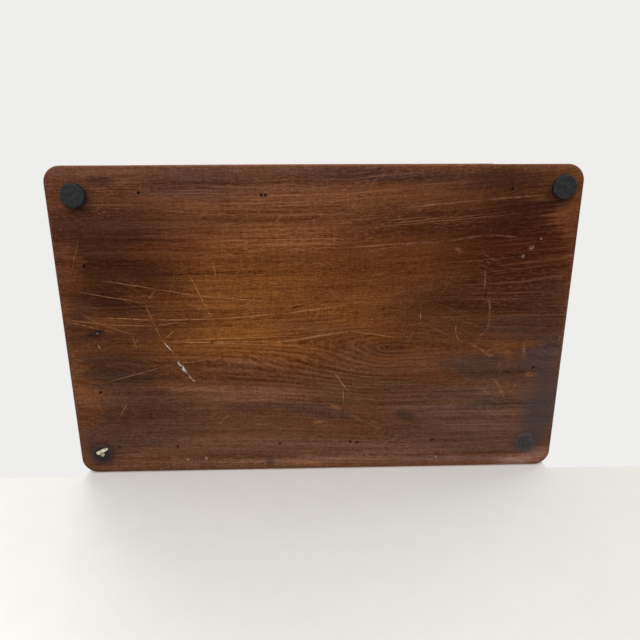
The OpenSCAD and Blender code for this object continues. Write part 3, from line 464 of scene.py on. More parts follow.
# the underside: tones laid on by place, then grain, painted sheen and glints, wear, scratches and stains, in
# millimetres
underside = {
    "ground": rgb(96, 55, 28),
    "eye": (43.5, 12.9),
    "half": (156.0, 98.0), "corner": 10.0,
    "lean": 0.085, "leanFrom": 20.0,                    # slope of the grain, and the x where it starts
    "eyeReach": (14, 24, 5), "eyeFade": 45,             # how far lines part: in front, behind and past the eye
    "ringPitch": 2.5, "ringSway": 5, "ringShade": 0.17,
    "feather": (38, 12),                                # how far the tones run out along and across the grain
    # of these colours, the greyish haze is partly painted sheen and partly wax bloom, and shine is a painted
    # highlight
    "pore": rgb(44, 22, 14), "bloomAndSheen": rgb(92, 73, 70), "shine": rgb(168, 112, 78), "hair": rgb(176, 122, 82),
    "dirt": rgb(60, 36, 28), "arris": rgb(142, 88, 62), "speck": rgb(160, 110, 80),
    "hairTurns": (12.0, 64.0, 151.0),
    "bare": (8.0, 4.5),                                 # heights between which the polish of the edge ends
    "tonesAtOnce": 12, "marksAtOnce": 9,                # more in one layer overfill the shader
    # x, y, half length, half width, turn, colour, strength; later ones lie over earlier ones
    "tones": [
        # the warm middle
        (-34, -14, 120, 46, 3, rgb(115, 66, 24), 0.75),
        (-52, 6, 48, 14, 3, rgb(124, 74, 28), 0.6),
        (-24, -53, 62, 12, 0, rgb(122, 72, 36), 0.55),
        (46, -46, 60, 26, 0, rgb(88, 44, 14), 0.7),
        (-92, -6, 36, 16, 0, rgb(80, 42, 18), 0.7),
        # the dark left end
        (-128, -62, 50, 26, 0, rgb(64, 33, 21), 0.88),
        (-118, -37, 52, 15, 8, rgb(60, 30, 13), 0.9),
        (-127, -19, 33, 13, 6, rgb(47, 20, 9), 0.92),
        (-124, 26, 36, 20, -6, rgb(61, 36, 21), 0.87),
        (-112, 62, 48, 24, 0, rgb(70, 44, 30), 0.8),
        (-148, -43, 10, 17, 4, rgb(100, 55, 31), 0.85),
        (-150, 43, 10, 28, 5, rgb(105, 60, 27), 0.8),
        # along the front edge
        (-72, -87, 46, 13, 0, rgb(83, 51, 40), 0.7),
        (-10, -80, 54, 7, 0, rgb(114, 69, 39), 0.5),
        (30, -92, 72, 6, 1, rgb(80, 49, 38), 0.75),
        (40, -92, 44, 5, 1, rgb(58, 35, 30), 0.75),
        (-138, -93, 26, 6, 0, rgb(90, 52, 40), 0.5),
        # the dark red right end
        (112, -90, 46, 9, 0, rgb(60, 30, 20), 0.85),
        (118, -52, 54, 36, 0, rgb(60, 20, 4), 0.92),
        (122, -74, 28, 10, 0, rgb(52, 20, 9), 0.85),
        (149, -66, 11, 16, 0, rgb(108, 61, 33), 0.8),
        (84, -8, 56, 26, 0, rgb(79, 45, 22), 0.7),
        (142, -12, 26, 26, 0, rgb(62, 35, 27), 0.75),
        # round the eye, and the greyer back half
        (-2, 2, 36, 13, 0, rgb(94, 55, 29), 0.55),
        (22, 15, 22, 10, 0, rgb(84, 53, 34), 0.5),
        (44, 13, 15, 9, 0, rgb(68, 41, 24), 0.45),
        (18, 31, 40, 9, 2, rgb(98, 64, 44), 0.45),
        (60, 44, 80, 14, 2, rgb(85, 53, 33), 0.65),
        (96, 70, 66, 26, 0, rgb(85, 61, 50), 0.8),
        (-50, 54, 90, 20, 3, rgb(98, 61, 37), 0.65),
        (-10, 80, 110, 10, 0, rgb(97, 62, 44), 0.65),
        (4, 92, 140, 6, 0, rgb(112, 74, 54), 0.8),
        (88, 93, 42, 5, 0, rgb(108, 77, 68), 0.7),
        (-84, 91, 48, 6, 0, rgb(102, 66, 50), 0.5),
        (0, 55, 36, 4, 9, rgb(62, 44, 36), 0.5),
        (116, 42, 38, 12, 0, rgb(92, 63, 47), 0.65),
        (110, 27, 38, 9, 5, rgb(57, 44, 38), 0.68),
        (114, 51.5, 28, 5, 0, rgb(60, 46, 41), 0.7),
        (146, 20, 18, 16, 0, rgb(57, 46, 48), 0.8),
        (142, 93, 34, 10, -15, rgb(138, 99, 84), 0.94),
        # narrower bands over all of these
        (-148, -8, 12, 17, 0, rgb(66, 38, 24), 0.7),
        (-124, 2, 34, 9, 0, rgb(74, 41, 24), 0.75),
        (-98, -22, 30, 10, 3, rgb(76, 35, 13), 0.7),
        (-94, -46, 24, 12, 4, rgb(78, 36, 16), 0.5),
        (-24, -43, 42, 6, 0, rgb(90, 47, 18), 0.6),
        (78, -66, 54, 12, -3, rgb(62, 27, 11), 0.75),
        (106, -22, 52, 15, 0, rgb(60, 27, 12), 0.7),
        (16, -22, 24, 9, 0, rgb(90, 49, 21), 0.5),
        (132, 0, 40, 13, 0, rgb(64, 41, 35), 0.6),
        (-50, 23, 34, 8, 4, rgb(106, 66, 42), 0.5),
        (-38, 43, 48, 9, 3, rgb(116, 73, 48), 0.65),
        (-104, 46, 34, 12, 0, rgb(67, 38, 24), 0.62),
        (0, 88, 132, 5, 0, rgb(122, 82, 66), 0.75),
        (-48, 40.5, 46, 3.5, 4, rgb(120, 77, 50), 0.5),
        (-36, 53, 34, 3, 3, rgb(70, 44, 33), 0.5),
        (52, 37, 46, 3, 2, rgb(106, 70, 48), 0.5),
        (88, 44, 18, 3.5, 2, rgb(66, 45, 36), 0.5),
        (-114, 29, 16, 4, 0, rgb(60, 38, 29), 0.55),
        (87, 69, 40, 3, 2, rgb(100, 71, 58), 0.4),
        (-127, 77, 22, 11, 0, rgb(60, 37, 29), 0.65),
    ],
    # smaller dark places, laid on more exactly
    "smudges": [
        (-123, -89.5, 11, 3.2, 0, rgb(40, 24, 19), 0.6),
        # these two are rings round the feet, heavier to one side: partly painted shadow of the feet, partly
        # dirt
        (-136, -78, 10, 9.5, 0, rgb(40, 22, 17), 0.5),
        (141, -81, 11, 9.5, 0, rgb(42, 22, 17), 0.6),
        (-136, 1.0, 8.5, 3.8, -12, rgb(36, 23, 20), 0.6),
        (57, 60, 9, 4.5, 20, rgb(46, 35, 28), 0.6),
        (-32.3, 92, 3.4, 6, 0, rgb(58, 38, 33), 0.55),
        (-141.2, 84.2, 11.5, 10.5, 0, rgb(50, 36, 34), 0.85),
        (138.5, 80.5, 13, 10.5, -20, rgb(62, 54, 54), 0.85),
        (148, 44, 46, 18, 96, rgb(68, 58, 58), 0.5),
        (146, 60, 28, 15, 112, rgb(58, 55, 58), 0.5),
    ],
    # where the fibre catches the light, painted as pale flecks and lines: x, y, half length, half width, turn,
    # strength
    "sheen": [
        (-20, -78, 95, 15, 0, 0.5),
        (-20, -53, 75, 9, 0, 0.6),
        (64, -66, 64, 9, -5, 0.4),
        (40, -92, 70, 5, 0, 0.3),
        (122, -30, 42, 52, 0, 0.16),
        (100, 62, 60, 38, 0, 0.24),
        (0, 92, 150, 8, 0, 0.45),
        (-130, -82, 34, 20, 0, 0.3),
    ],
}

# marks on the underside: colour, strength, how broken they are, and lines given by width and points
marks = {
    "scratches": {"colour": rgb(190, 138, 92), "strength": 0.52, "broken": (0.28, 0.5), "lines": [
        (0.45, [(-128, -31.5), (-95, -26), (-74, -22), (-30, -18)]),
        (0.45, [(-144.4, -25), (-105, -18), (-101, -6.6), (-97, 5), (-91, 13.4)]),
        (0.35, [(-104.7, -18), (-97, -26)]),
        (0.32, [(-144.2, -12), (-133.6, -4.9), (-112.3, 2.5)]),
        (0.45, [(-154.2, -8.1), (-126.1, -3.8), (-100.1, -3.5), (-84.6, -5.4)]),
        (0.55, [(-77.4, -36.3), (-64, -5.5)]),
        (0.65, [(-130, -8.7), (-100.6, -7.1), (-63.6, -7.1), (-22.5, -10.2), (13.6, -14.5)]),
        (0.55, [(-96, 6.7), (-33, 9.5), (13.7, 2.9)]),
        (0.35, [(-96, 6.3), (5, 4)]),
        (0.35, [(-92, 7.3), (-17, 7.8)]),
        (0.35, [(-84, 9.4), (5, 10.4)]),
        (0.32, [(-135.5, 34), (-90.3, 21.7), (-67.7, 19.1)]),
        (0.5, [(-11, 5.9), (19.3, 1.4), (50, 6)]),
        (0.65, [(9.9, 28.4), (19.1, 41.7)]),
        (0.4, [(16, 40), (16.6, 52.5)]),
        (0.5, [(86, -1.9), (86.5, 4.2), (88, 8.3), (91.5, 9.4)]),
        (0.45, [(46.3, -69.8), (51, -65)]),
        (0.4, [(-62.6, -43.6), (-61, -32.3)]),
        (0.4, [(-122, 48.4), (-127.8, 57.6)]),
        (0.4, [(-57.4, 56.6), (-65.6, 64.8)]),
        (0.45, [(-114.4, 3.2), (-112.4, 10.4)]),
        (0.45, [(-93.4, 4.2), (-87.7, -0.4)]),
        (0.8, [(63.6, -9), (63.6, -5.4)]),
    ]},
    # painted highlights: pale streaks where the polish and a raised ridge catch the light
    "glints": {"colour": rgb(176, 122, 92), "strength": 0.25, "broken": (0.25, 0.65), "lines": [
        (0.9, [(-92, -73), (-63.6, -71)]),
        (1.5, [(44.2, -73.1), (99.2, -78.1), (130.3, -80.4)]),
        (1.5, [(18.7, -50.7), (40.7, -51.8), (77.7, -54.1), (99.7, -57.3), (122, -56)]),
        (1.8, [(101.6, -36), (102, -24)]),
        (2.4, [(104, -17.4), (106, -16.6)]),
        (2.6, [(82, -50), (87, -47)]),
        (1.6, [(105.9, -18), (106.8, -5.6), (105.6, 1.6), (101.5, 6.5)]),
        (0.9, [(-49, 47), (-28.7, 47)]),
    ]},
    "rubbed": {"colour": rgb(148, 92, 54), "strength": 0.52, "broken": (0.34, 0.6), "lines": [
        (0.8, [(-139, -57), (-147, -35)]),
        (1.4, [(-156, -7.6), (-125, 0.6)]),
        (0.9, [(9.4, -63), (9.9, -49.7)]),
        (2.6, [(96.5, 11.0), (103.4, 14.6), (108.6, 18.6)]),
        (2.0, [(107.8, 19.4), (111.6, 18.2)]),
        (2.4, [(130.4, 11.0), (131.0, 20)]),
        (3.4, [(129.5, 32.6), (141.5, 31.6)]),
        (2.8, [(113.6, 35.4), (117.2, 41), (120.4, 47.4)]),
        (2.2, [(103.4, 41.6), (110.8, 44.4)]),
        (1.4, [(124.4, 44.4), (128.3, 37.5)]),
        (3.0, [(8, 51), (14.5, 54)]),
        (3.4, [(-3, 63), (7, 64)]),
        (1.4, [(155.7, -3), (151.6, 11.4)]),
        (4.5, [(-23, 92), (5, 93.5)]),
    ]},
    "stains": {"colour": rgb(26, 16, 13), "strength": 0.8, "broken": (0.28, 0.5), "lines": [
        (1.3, [(-17, -14), (-8, -15.2)]),
        (0.5, [(-8, -15.2), (-0.5, -17.8)]),
        (2.2, [(-141.1, 2.7), (-137.5, 2.2)]),
        (2.4, [(-137.2, 1.2), (-131.2, -0.8)]),
        (1.0, [(-60, 15.2), (-60, 18)]),
        (1.0, [(-45.6, 15.6), (-45.6, 17.6)]),
        (1.6, [(103.8, -22.5), (102.6, -19)]),
        (0.6, [(77.6, -55.7), (91.8, -58.8), (110.2, -60.8), (137.8, -61.2)]),
    ]},
    "chips": {"colour": rgb(170, 140, 122), "strength": 0.45, "broken": (0.3, 0.55), "lines": [
        (1.2, [(-149.6, -62), (-148.8, -62)]),
        (1.2, [(-149.5, -51.3), (-148.9, -51.3)]),
        (3.6, [(126.9, -50.4), (129.6, -49.4)]),
        (2.8, [(123.2, -44.8), (125.2, -44.2)]),
        (1.6, [(133, -55), (134.4, -54.4)]),
        (3.0, [(-75.6, 88.6), (-73.2, 88.8)]),
        (2.2, [(-87, 89), (-85, 89)]),
        (2.4, [(77.4, 90.3), (79.4, 90.3)]),
        (1.8, [(91.2, 93.5), (92.8, 93.5)]),
        (0.9, [(-136.1, 8.3), (-134.9, 11.5)]),
        # a painted glint on the dark knot
        (0.9, [(-136.2, 1.6), (-134.2, 0.6)]),
    ]},
    "paint": {"colour": rgb(204, 198, 188), "strength": 0.75, "broken": (0.36, 0.6), "lines": [
        (0.7, [(-95.4, 7.3), (-90.3, 14.5)]),
        (1.7, [(-87.6, 20.4), (-82.4, 28.4)]),
        (0.7, [(-82.4, 28.4), (-77.5, 34.5)]),
    ]},
}


def paintUnderside(name):
    paint, place = startPaint(name)
    x, y, z = axes(place)
    # the grain leans up on the right of the front, and parts round an eye in the figure
    lean = (x - underside["leanFrom"]).most(0.0) * y.fade(-10.0, -45.0) * underside["lean"]
    offX, offY = x - underside["eye"][0], y - underside["eye"][1] + lean
    past = offX.fade(-2.0, 2.0)
    inFront, behind, beyond = underside["eyeReach"]
    reach = (offY.fade(-6.0, 6.0) * (behind - inFront) + inFront) * (1 - past) + past * beyond
    rise = (1 - x.calc("EXPONENT", abs(offX) * (-1 / underside["eyeFade"]))) * reach
    bow = x.calc("SQRT", offY * offY + rise * rise)
    board = wander(join(x, bow, offY * 0.25), 0.02, 1.8)
    bands = streaks(board, 0.004, 0.11, 2.0)
    lines = streaks(board, 0.010, 0.55, 3.0)
    fibre = streaks(board, 0.07, 3.0, 2.0)
    flecks = streaks(board, 0.3, 1.5, 3.0, 0.65)
    silk = streaks(board, 0.011, 1.2, 2.0)
    pores = streaks(board, 0.12, 2.4, 2.0, 0.7).fade(0.57, 0.68)
    grit = clouds(place, 1.2, 3.0, 0.75)
    hatch = clouds(stretch(place, 1.3, 0.06, 1.0), 1.0, 2.0, 0.6)
    rings = x.calc("SINE", bow * underside["ringPitch"] + bands * underside["ringSway"])
    rings = rings * oval(place, 2, 22, 105, 44).fade(1.0, 0.3)
    fine = (fibre - 0.5) * 0.6 + (flecks - 0.5) * 0.8 + (grit - 0.5) * 0.9 + (hatch - 0.5) * 0.35
    # the middle of the front is crisper, and the back right corner is duller
    crisp = oval(place, -10, -28, 130, 55).fade(1.1, 0.2) * 0.42
    dull = oval(place, 105, 62, 70, 40).fade(1.1, 0.3) * 0.45
    fine = fine * (1.05 + crisp - dull)
    broad = (bands - 0.5) * 0.9 + (lines - 0.5) * 0.9 + rings * underside["ringShade"]

    colour = underside["ground"]
    along, across = underside["feather"]
    soft = join(x + (lines - 0.5) * along, y + (bands - 0.5) * across, z)
    for layer in layers(underside["tones"], underside["tonesAtOnce"]):
        # each layer drifts a little more than the last
        soft = wander(soft, 0.03, 5.0, 4.0)
        for *shape, tint, strength in layer:
            colour = mixed(colour, tint, oval(soft, *shape).fade(1.15, 0.3) * strength)
    # a greyer haze over the back half and the left of the front edge: partly painted sheen, partly wax bloom
    bloomAndSheen = y.fade(5.0, 60.0).most(y.fade(-76.0, -92.0) * x.fade(60.0, -20.0))
    colour = mixed(colour, underside["bloomAndSheen"], bloomAndSheen * 0.13)
    # dark lines are warmer than light ones, so blue changes most
    red, green = 1 + broad + fine, 1 + broad * 1.35 + fine * 1.9
    blue = (1 + broad * 1.8 + fine * 2.9).most(0.1)
    warmth = join(red, green, blue)
    colour = warmth.add("VectorMath", {"operation": "MULTIPLY"}, {0: warmth, 1: colour})
    colour = mixed(colour, underside["pore"], pores * 0.4)

    # painted highlight: pale flecks and silky lines where the fibre catches the light
    soft = wander(soft, 0.03, 2.0)
    bright = None
    for *shape, strength in underside["sheen"]:
        patch = oval(soft, *shape).fade(1.1, 0.2) * strength
        bright = bright.most(patch) if bright else patch
    shine = flecks.fade(0.53, 0.72).most(silk.fade(0.54, 0.68))
    colour = mixed(colour, underside["shine"], shine * (bright * 0.8 + 0.05))

    # hairline rubbing in a few directions
    for turn in underside["hairTurns"]:
        spin = {"Vector": place, "Rotation": (0, 0, math.radians(turn)), "Location": (turn, 3 * turn, 0)}
        spun = place.add("Mapping", {}, spin)
        hair = abs(streaks(wander(spun, 0.02, 4.0), 0.012, 0.4, 1.0) - 0.5).fade(0.010, 0.003)
        hair = hair * clouds(spun, 0.03, 2.0).fade(0.52, 0.66)
        colour = mixed(colour, underside["hair"], hair * 0.2)

    loose = wander(place, 0.1, 1.0)
    for *shape, tint, strength in underside["smudges"]:
        colour = mixed(colour, tint, oval(loose, *shape).fade(1.1, 0.35) * strength)
    patchy = clouds(place, 0.5, 3.0, 0.6)
    for mark in marks.values():
        for layer in layers(mark["lines"], underside["marksAtOnce"]):
            loose = wander(loose, 0.3, 0.28)
            shown = strokes(loose, layer).fade(1.1, 0.45) * patchy.fade(*mark["broken"])
            colour = mixed(colour, mark["colour"], shown * mark["strength"])

    # worn arris and the dirty strip inside it
    outX = abs(x) - (underside["half"][0] - underside["corner"])
    outY = abs(y) - (underside["half"][1] - underside["corner"])
    pastX, pastY = outX.most(0.0), outY.most(0.0)
    outside = x.calc("SQRT", pastX * pastX + pastY * pastY) + outX.most(outY).least(0.0)
    gap = underside["corner"] - outside
    ragged = clouds(place, 0.3, 4.0, 0.65)
    colour = mixed(colour, underside["dirt"], (gap + ragged * 6).fade(7.5, 3.5) * 0.28)
    arris = (gap + ragged * 4.5).fade(3.6, 2.0)
    colour = mixed(colour, underside["arris"], arris * 0.5)
    specks = (gap + ragged * 8).fade(10.0, 5.0) * grit.fade(0.52, 0.68)
    colour = mixed(colour, underside["speck"], specks * 0.5)

    # the upper side and the edges are polished like the rest of the box
    topColour = woodColour(place, timber["mahogany"])[0]
    below = z.fade(*underside["bare"])
    colour = mixed(topColour, colour, below)
    rough = 0.4 + below * 0.2 + (patchy - 0.5) * 0.16
    values = {
        "Base Color": colour, "Roughness": rough, "Specular IOR Level": 0.06,
        "Coat Weight": (1 - below) * 0.3, "Coat Roughness": 0.22,
    }
    # a raised line in the grain, with a dent at its end
    ridge = oval(place, 101.8, -28, 9.0, 2.6, 92).fade(1.0, 0.0)
    dent = oval(place, 103.2, -21.4, 2.6, 1.2, 110).fade(1.0, 0.3)
    return finishPaint(paint, place, values, fibre * 0.6 - pores + (ridge - dent) * 4, 0.12)


coat("base_board", paintUnderside("worn mahogany base"))
print("base board painted")


def deselect():
    if bpy.context.object and bpy.context.object.mode != "OBJECT":
        bpy.ops.object.mode_set(mode="OBJECT")
    bpy.ops.object.select_all(action="DESELECT")


def activate(piece):
    deselect()
    piece.select_set(True)
    bpy.context.view_layer.objects.active = piece


def applyModifiers(piece):
    activate(piece)
    for modifier in list(piece.modifiers):
        bpy.ops.object.modifier_apply(modifier=modifier.name)


def settle(piece):
    activate(piece)
    bpy.ops.object.transform_apply(location=True, rotation=True, scale=True)


clothMake = {"quality": 6, "mass": 0.2, "tension_stiffness": 12, "bending_stiffness": 0.4}


def swell(piece, held, pressure, cap, frames=14):
    # blows a closed skin up a little with the cloth solver; held says which points stay
    start = [vertex.co.copy() for vertex in piece.data.vertices]
    group = piece.vertex_groups.new(name="held")
    group.add([i for i, co in enumerate(start) if held(co)], 1.0, "REPLACE")
    cloth = piece.modifiers.new("swell", "CLOTH")
    for key, setting in clothMake.items():
        setattr(cloth.settings, key, setting)
    cloth.settings.vertex_group_mass = "held"
    cloth.settings.use_pressure = True
    cloth.settings.uniform_pressure_force = pressure
    cloth.settings.effector_weights.gravity = 0.0
    cloth.collision_settings.use_collision = False
    cloth.point_cache.frame_end = frames
    scene = bpy.context.scene
    for step in range(1, frames + 1):
        scene.frame_set(step)
    scene.view_layers[0].update()
    shaped = piece.evaluated_get(bpy.context.evaluated_depsgraph_get())
    after = [vertex.co.copy() for vertex in shaped.data.vertices]
    piece.modifiers.remove(cloth)
    piece.vertex_groups.clear()
    for vertex, first, last in zip(piece.data.vertices, start, after):
        move = last - first
        if move.length > cap:
            move = move * (cap / move.length)
        vertex.co = first + move
    scene.frame_set(1)


velvetLook = {"pile": rgb(96, 17, 32), "shade": rgb(58, 9, 20), "rubbed": rgb(138, 44, 58)}


def paintVelvet(name, seed):
    paint, place = startPaint(name)
    moved = shifted(place, seed, 41.0, 13.0, 7.0)
    nap = clouds(moved, 0.05, 4.0, 0.6)
    tufts = clouds(moved, 2.6, 3.0, 0.7)
    pressed = clouds(moved, 0.16, 3.0, 0.6)
    colour = mixed(velvetLook["pile"], velvetLook["shade"], nap.fade(0.4, 0.66) * 0.6)
    colour = mixed(colour, velvetLook["rubbed"], pressed.fade(0.54, 0.72) * 0.4)
    colour = mixed(colour, velvetLook["shade"], tufts.fade(0.5, 0.34) * 0.45)
    values = {
        "Base Color": colour, "Roughness": 0.85 + (pressed - 0.5) * 0.2, "Specular IOR Level": 0.15,
        "Sheen Weight": 0.5, "Sheen Roughness": 0.35, "Sheen Tint": rgb(206, 120, 130),
    }
    return finishPaint(paint, place, values, tufts + pressed * 0.8, 0.35)


def padSheet(name, pad):
    # a thin stuffed cloth pad, made lying flat with its glued face at z 0, then set in place
    wide, deep = pad["size"]
    deselect()
    columns, rows = round(wide / pad["step"]), round(deep / pad["step"])
    bpy.ops.mesh.primitive_grid_add(x_subdivisions=columns, y_subdivisions=rows, size=1.0)
    piece = bpy.context.object
    piece.name = name
    piece.scale = (wide * mm, deep * mm, 1.0)
    settle(piece)
    for x0, x1, y0, y1 in pad.get("cuts", []):
        bpy.ops.object.mode_set(mode="EDIT")
        bpy.ops.mesh.select_mode(type="FACE")
        bpy.ops.mesh.select_all(action="DESELECT")
        bpy.ops.object.mode_set(mode="OBJECT")
        for polygon in piece.data.polygons:
            x, y = polygon.center.x / mm, polygon.center.y / mm
            polygon.select = x0 < x < x1 and y0 < y < y1
        bpy.ops.object.mode_set(mode="EDIT")
        bpy.ops.mesh.delete(type="FACE")
        bpy.ops.object.mode_set(mode="OBJECT")
    bpy.ops.object.mode_set(mode="EDIT")
    bpy.ops.mesh.select_all(action="SELECT")
    bpy.ops.mesh.extrude_region_move(TRANSFORM_OT_translate={"value": (0, 0, pad["thick"] * mm)})
    bpy.ops.mesh.select_all(action="SELECT")
    bpy.ops.mesh.normals_make_consistent(inside=False)
    bpy.ops.object.mode_set(mode="OBJECT")
    points = piece.data.vertices
    upright = [edge.vertices for edge in piece.data.edges
               if points[edge.vertices[0]].co.z != points[edge.vertices[1]].co.z]
    rim = {key for pair in upright for key in pair}

    def rounded(co):
        return tuple(round(value / mm, 2) for value in co)

    rimPlaces = {rounded(points[key].co) for key in rim}

    def held(co):
        x, y = co.x / mm, co.y / mm
        if co.z < pad["thick"] * mm * 0.5 or rounded(co) in rimPlaces:
            return True
        return any(x0 <= x <= x1 and y0 <= y <= y1 for x0, x1, y0, y1 in pad.get("dips", []))

    swell(piece, held, pad["pressure"], pad["cap"] * mm)
    for key in rim:                                     # the cloth turns down over the board's edge
        vertex = piece.data.vertices[key]
        if vertex.co.z > pad["thick"] * mm * 0.5:
            vertex.co.z -= pad["roll"] * mm
    piece.rotation_euler = [math.radians(turn) for turn in pad["turn"]]
    piece.location = [value * mm for value in pad["place"]]
    settle(piece)
    bpy.ops.object.shade_smooth()
    return piece


def dress(piece, paint, body, slot, *replaced):
    piece.data.materials.clear()
    piece.data.materials.append(paint)
    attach(piece, body)
    if replaced:
        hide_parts(*replaced)


def joinPieces(pieces, name):
    activate(pieces[0])
    for piece in pieces:
        piece.select_set(True)
    bpy.ops.object.join()
    pieces[0].name = name
    return pieces[0]


# the pad on the floor of the well, drawn down where dividers and rolls stand on it
floorPad = {
    "size": (262.2, 146.2), "thick": 2.0, "step": 2.6, "pressure": 5.0, "cap": 0.9, "roll": 0.7,
    "turn": (0, 0, 0), "place": (0, 0, 64.8),
    "dips": [
        (-132, 132, -19.0, -12.0), (-7.5, 1.0, -74, -13), (-46.5, -41.0, -15, 74), (41.0, 46.5, -15, 74),
        (-132, -5, -74, -15),
    ],
}
floorLining = padSheet("floor_pad", floorPad)
dress(floorLining, paintVelvet("floor velvet", 1), "case", "velvet", "floor_lining")

# the pads on the four walls of the well; the front one is cut away round the lock
wallPads = {
    "front": {"size": (262.8, 40.2), "turn": (-90, 0, 0), "place": (0, -75, 84.9),
              "cuts": [(-24.3, 24.3, -60, 2.2)]},
    "back": {"size": (262.8, 40.2), "turn": (90, 0, 0), "place": (0, 75, 84.9)},
    "left": {"size": (40.2, 146.8), "turn": (0, 90, 0), "place": (-133, 0, 84.9)},
    "right": {"size": (40.2, 146.8), "turn": (0, -90, 0), "place": (133, 0, 84.9)},
}
wallMake = {"thick": 1.6, "step": 2.6, "pressure": 4.0, "cap": 0.5, "roll": 0.6}
wallLinings = [padSheet("wall_pad_" + side, {**wallMake, **pad}) for side, pad in wallPads.items()]
wallLining = joinPieces(wallLinings, "wall_pads")
dress(wallLining, paintVelvet("wall velvet", 2), "case", "velvet", "side_linings")

drawerPad = {
    "size": (226.6, 131.4), "thick": 2.0, "step": 2.6, "pressure": 5.0, "cap": 0.9, "roll": 0.7,
    "turn": (0, 0, 0), "place": (0, -11.0, 29.4),
}
drawerLining = padSheet("drawer_pad", drawerPad)
dress(drawerLining, paintVelvet("drawer velvet", 3), "drawer", "velvet", "drawer_lining")
print("velvet pads laid")

ringRoll = {"shrink": (0.5, 0.9, 0.6), "voxel": 1.8, "pressure": 5.0, "cap": 0.9, "foot": 1.4}


def makeRolls():
    source = cadNodes["ring_rolls"].data.copy()
    rolls = bpy.data.objects.new("ring_roll", source)
    bpy.context.scene.collection.objects.link(rolls)
    activate(rolls)
    bpy.ops.object.mode_set(mode="EDIT")
    bpy.ops.mesh.select_all(action="SELECT")
    bpy.ops.mesh.remove_doubles(threshold=0.01 * mm)
    bpy.ops.mesh.separate(type="LOOSE")
    bpy.ops.object.mode_set(mode="OBJECT")
    made = list(bpy.context.selected_objects)
    made.sort(key=lambda roll: min(vertex.co.y for vertex in roll.data.vertices))
    for roll in made:
        low = Vector([min(v.co[i] for v in roll.data.vertices) for i in range(3)])
        high = Vector([max(v.co[i] for v in roll.data.vertices) for i in range(3)])
        middle = (low + high) / 2
        for vertex in roll.data.vertices:               # room to swell into
            for i, less in enumerate(ringRoll["shrink"]):
                anchor = low.z if i == 2 else middle[i]
                size = high[i] - low[i]
                vertex.co[i] = anchor + (vertex.co[i] - anchor) * (1 - 2 * less * mm / size)
        activate(roll)
        remesh = roll.modifiers.new("even skin", "REMESH")
        remesh.mode = "VOXEL"
        remesh.voxel_size = ringRoll["voxel"] * mm
        applyModifiers(roll)
        foot = min(vertex.co.z for vertex in roll.data.vertices) + ringRoll["foot"] * mm
        swell(roll, lambda co: co.z < foot, ringRoll["pressure"], ringRoll["cap"] * mm)
        for vertex in roll.data.vertices:               # sits flat on the pad
            vertex.co.z = max(vertex.co.z, low.z)
        smooth = roll.modifiers.new("ease", "SMOOTH")
        smooth.factor = 0.5
        smooth.iterations = 3
        applyModifiers(roll)
        activate(roll)
        bpy.ops.object.shade_smooth()
    return joinPieces(made, "ring_roll_pads")


ringRolls = makeRolls()
dress(ringRolls, paintVelvet("ring roll velvet", 4), "case", "velvet", "ring_rolls")
print("ring rolls stuffed")


# what is left where the two back feet came off
residue = {
    "glueLeft": {
        "place": (-141.8, 84.2), "radius": 6.7, "ragged": 0.08, "thick": 0.38, "seed": 3.0,
        "tar": rgb(42, 33, 35), "glint": rgb(58, 54, 58), "rim": rgb(62, 44, 39), "rough": 0.55,
    },
    "glueRight": {
        "place": (137.9, 80.6), "radius": 6.6, "ragged": 0.2, "thick": 0.40, "seed": 9.0,
        "tar": rgb(56, 50, 51), "glint": rgb(94, 91, 90), "rim": rgb(74, 60, 56), "rough": 0.5,
    },
}
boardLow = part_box("base_board")[0].z


def makeResidue(name, patch):
    deselect()
    bpy.ops.mesh.primitive_circle_add(vertices=96, radius=patch["radius"] * mm, fill_type="NGON",
                                      location=(0, 0, 0))
    piece = bpy.context.object
    piece.name = name
    bpy.ops.object.mode_set(mode="EDIT")
    bpy.ops.mesh.select_mode(type="FACE")
    bpy.ops.mesh.select_all(action="SELECT")
    for ring in range(7):
        bpy.ops.mesh.inset(thickness=patch["radius"] * 0.12 * mm, depth=0.0)
    bpy.ops.mesh.poke()
    bpy.ops.mesh.select_all(action="SELECT")
    bpy.ops.mesh.extrude_region_move(TRANSFORM_OT_translate={"value": (0, 0, -patch["thick"] * mm)})
    bpy.ops.mesh.select_all(action="SELECT")
    bpy.ops.mesh.normals_make_consistent(inside=False)
    bpy.ops.object.mode_set(mode="OBJECT")
    for vertex in piece.data.vertices:
        flat = Vector((vertex.co.x, vertex.co.y, 0.0)) / mm
        share = flat.length / patch["radius"]
        spot = flat * 0.22 + Vector((patch["seed"] * 5, 0, 0))
        edge = 1 + patch["ragged"] * noise.noise(spot) * share
        vertex.co.x *= edge
        vertex.co.y *= edge
        if vertex.co.z < 0:
            lumps = 0.72 + 0.5 * noise.noise(flat * 0.9 + Vector((0, patch["seed"], 0)))
            vertex.co.z = -patch["thick"] * mm * min(1.0, lumps) * (1 - 0.85 * min(1.0, share) ** 5)
    piece.location = (patch["place"][0] * mm, patch["place"][1] * mm, boardLow)
    settle(piece)
    bpy.ops.object.shade_smooth()
    return piece


def paintGlue(name, patch):
    paint, place = startPaint(name)
    lumps = clouds(place, 0.45, 5.0, 0.65)
    crumbs = clouds(place, 1.8, 4.0, 0.65)
    # painted highlights: paler glints on the lumps of the glossy tar
    colour = mixed(patch["tar"], patch["glint"], lumps.fade(0.54, 0.76) * 0.8)
    colour = mixed(colour, rgb(70, 48, 38), crumbs.fade(0.62, 0.76) * 0.5)
    rim = oval(wander(place, 0.4, 1.6), *patch["place"], patch["radius"], patch["radius"]).fade(0.6, 0.98)
    colour = mixed(colour, patch["rim"], rim)
    rough = patch["rough"] + (lumps - 0.5) * 0.4
    values = {"Base Color": colour, "Roughness": rough, "Specular IOR Level": 0.4}
    return finishPaint(paint, place, values, lumps + crumbs * 0.6, 0.3)


for name, patch in residue.items():
    gluePiece = makeResidue(name, patch)
    dress(gluePiece, paintGlue(name + " tar", patch), "case", "glue", "glue_patches")

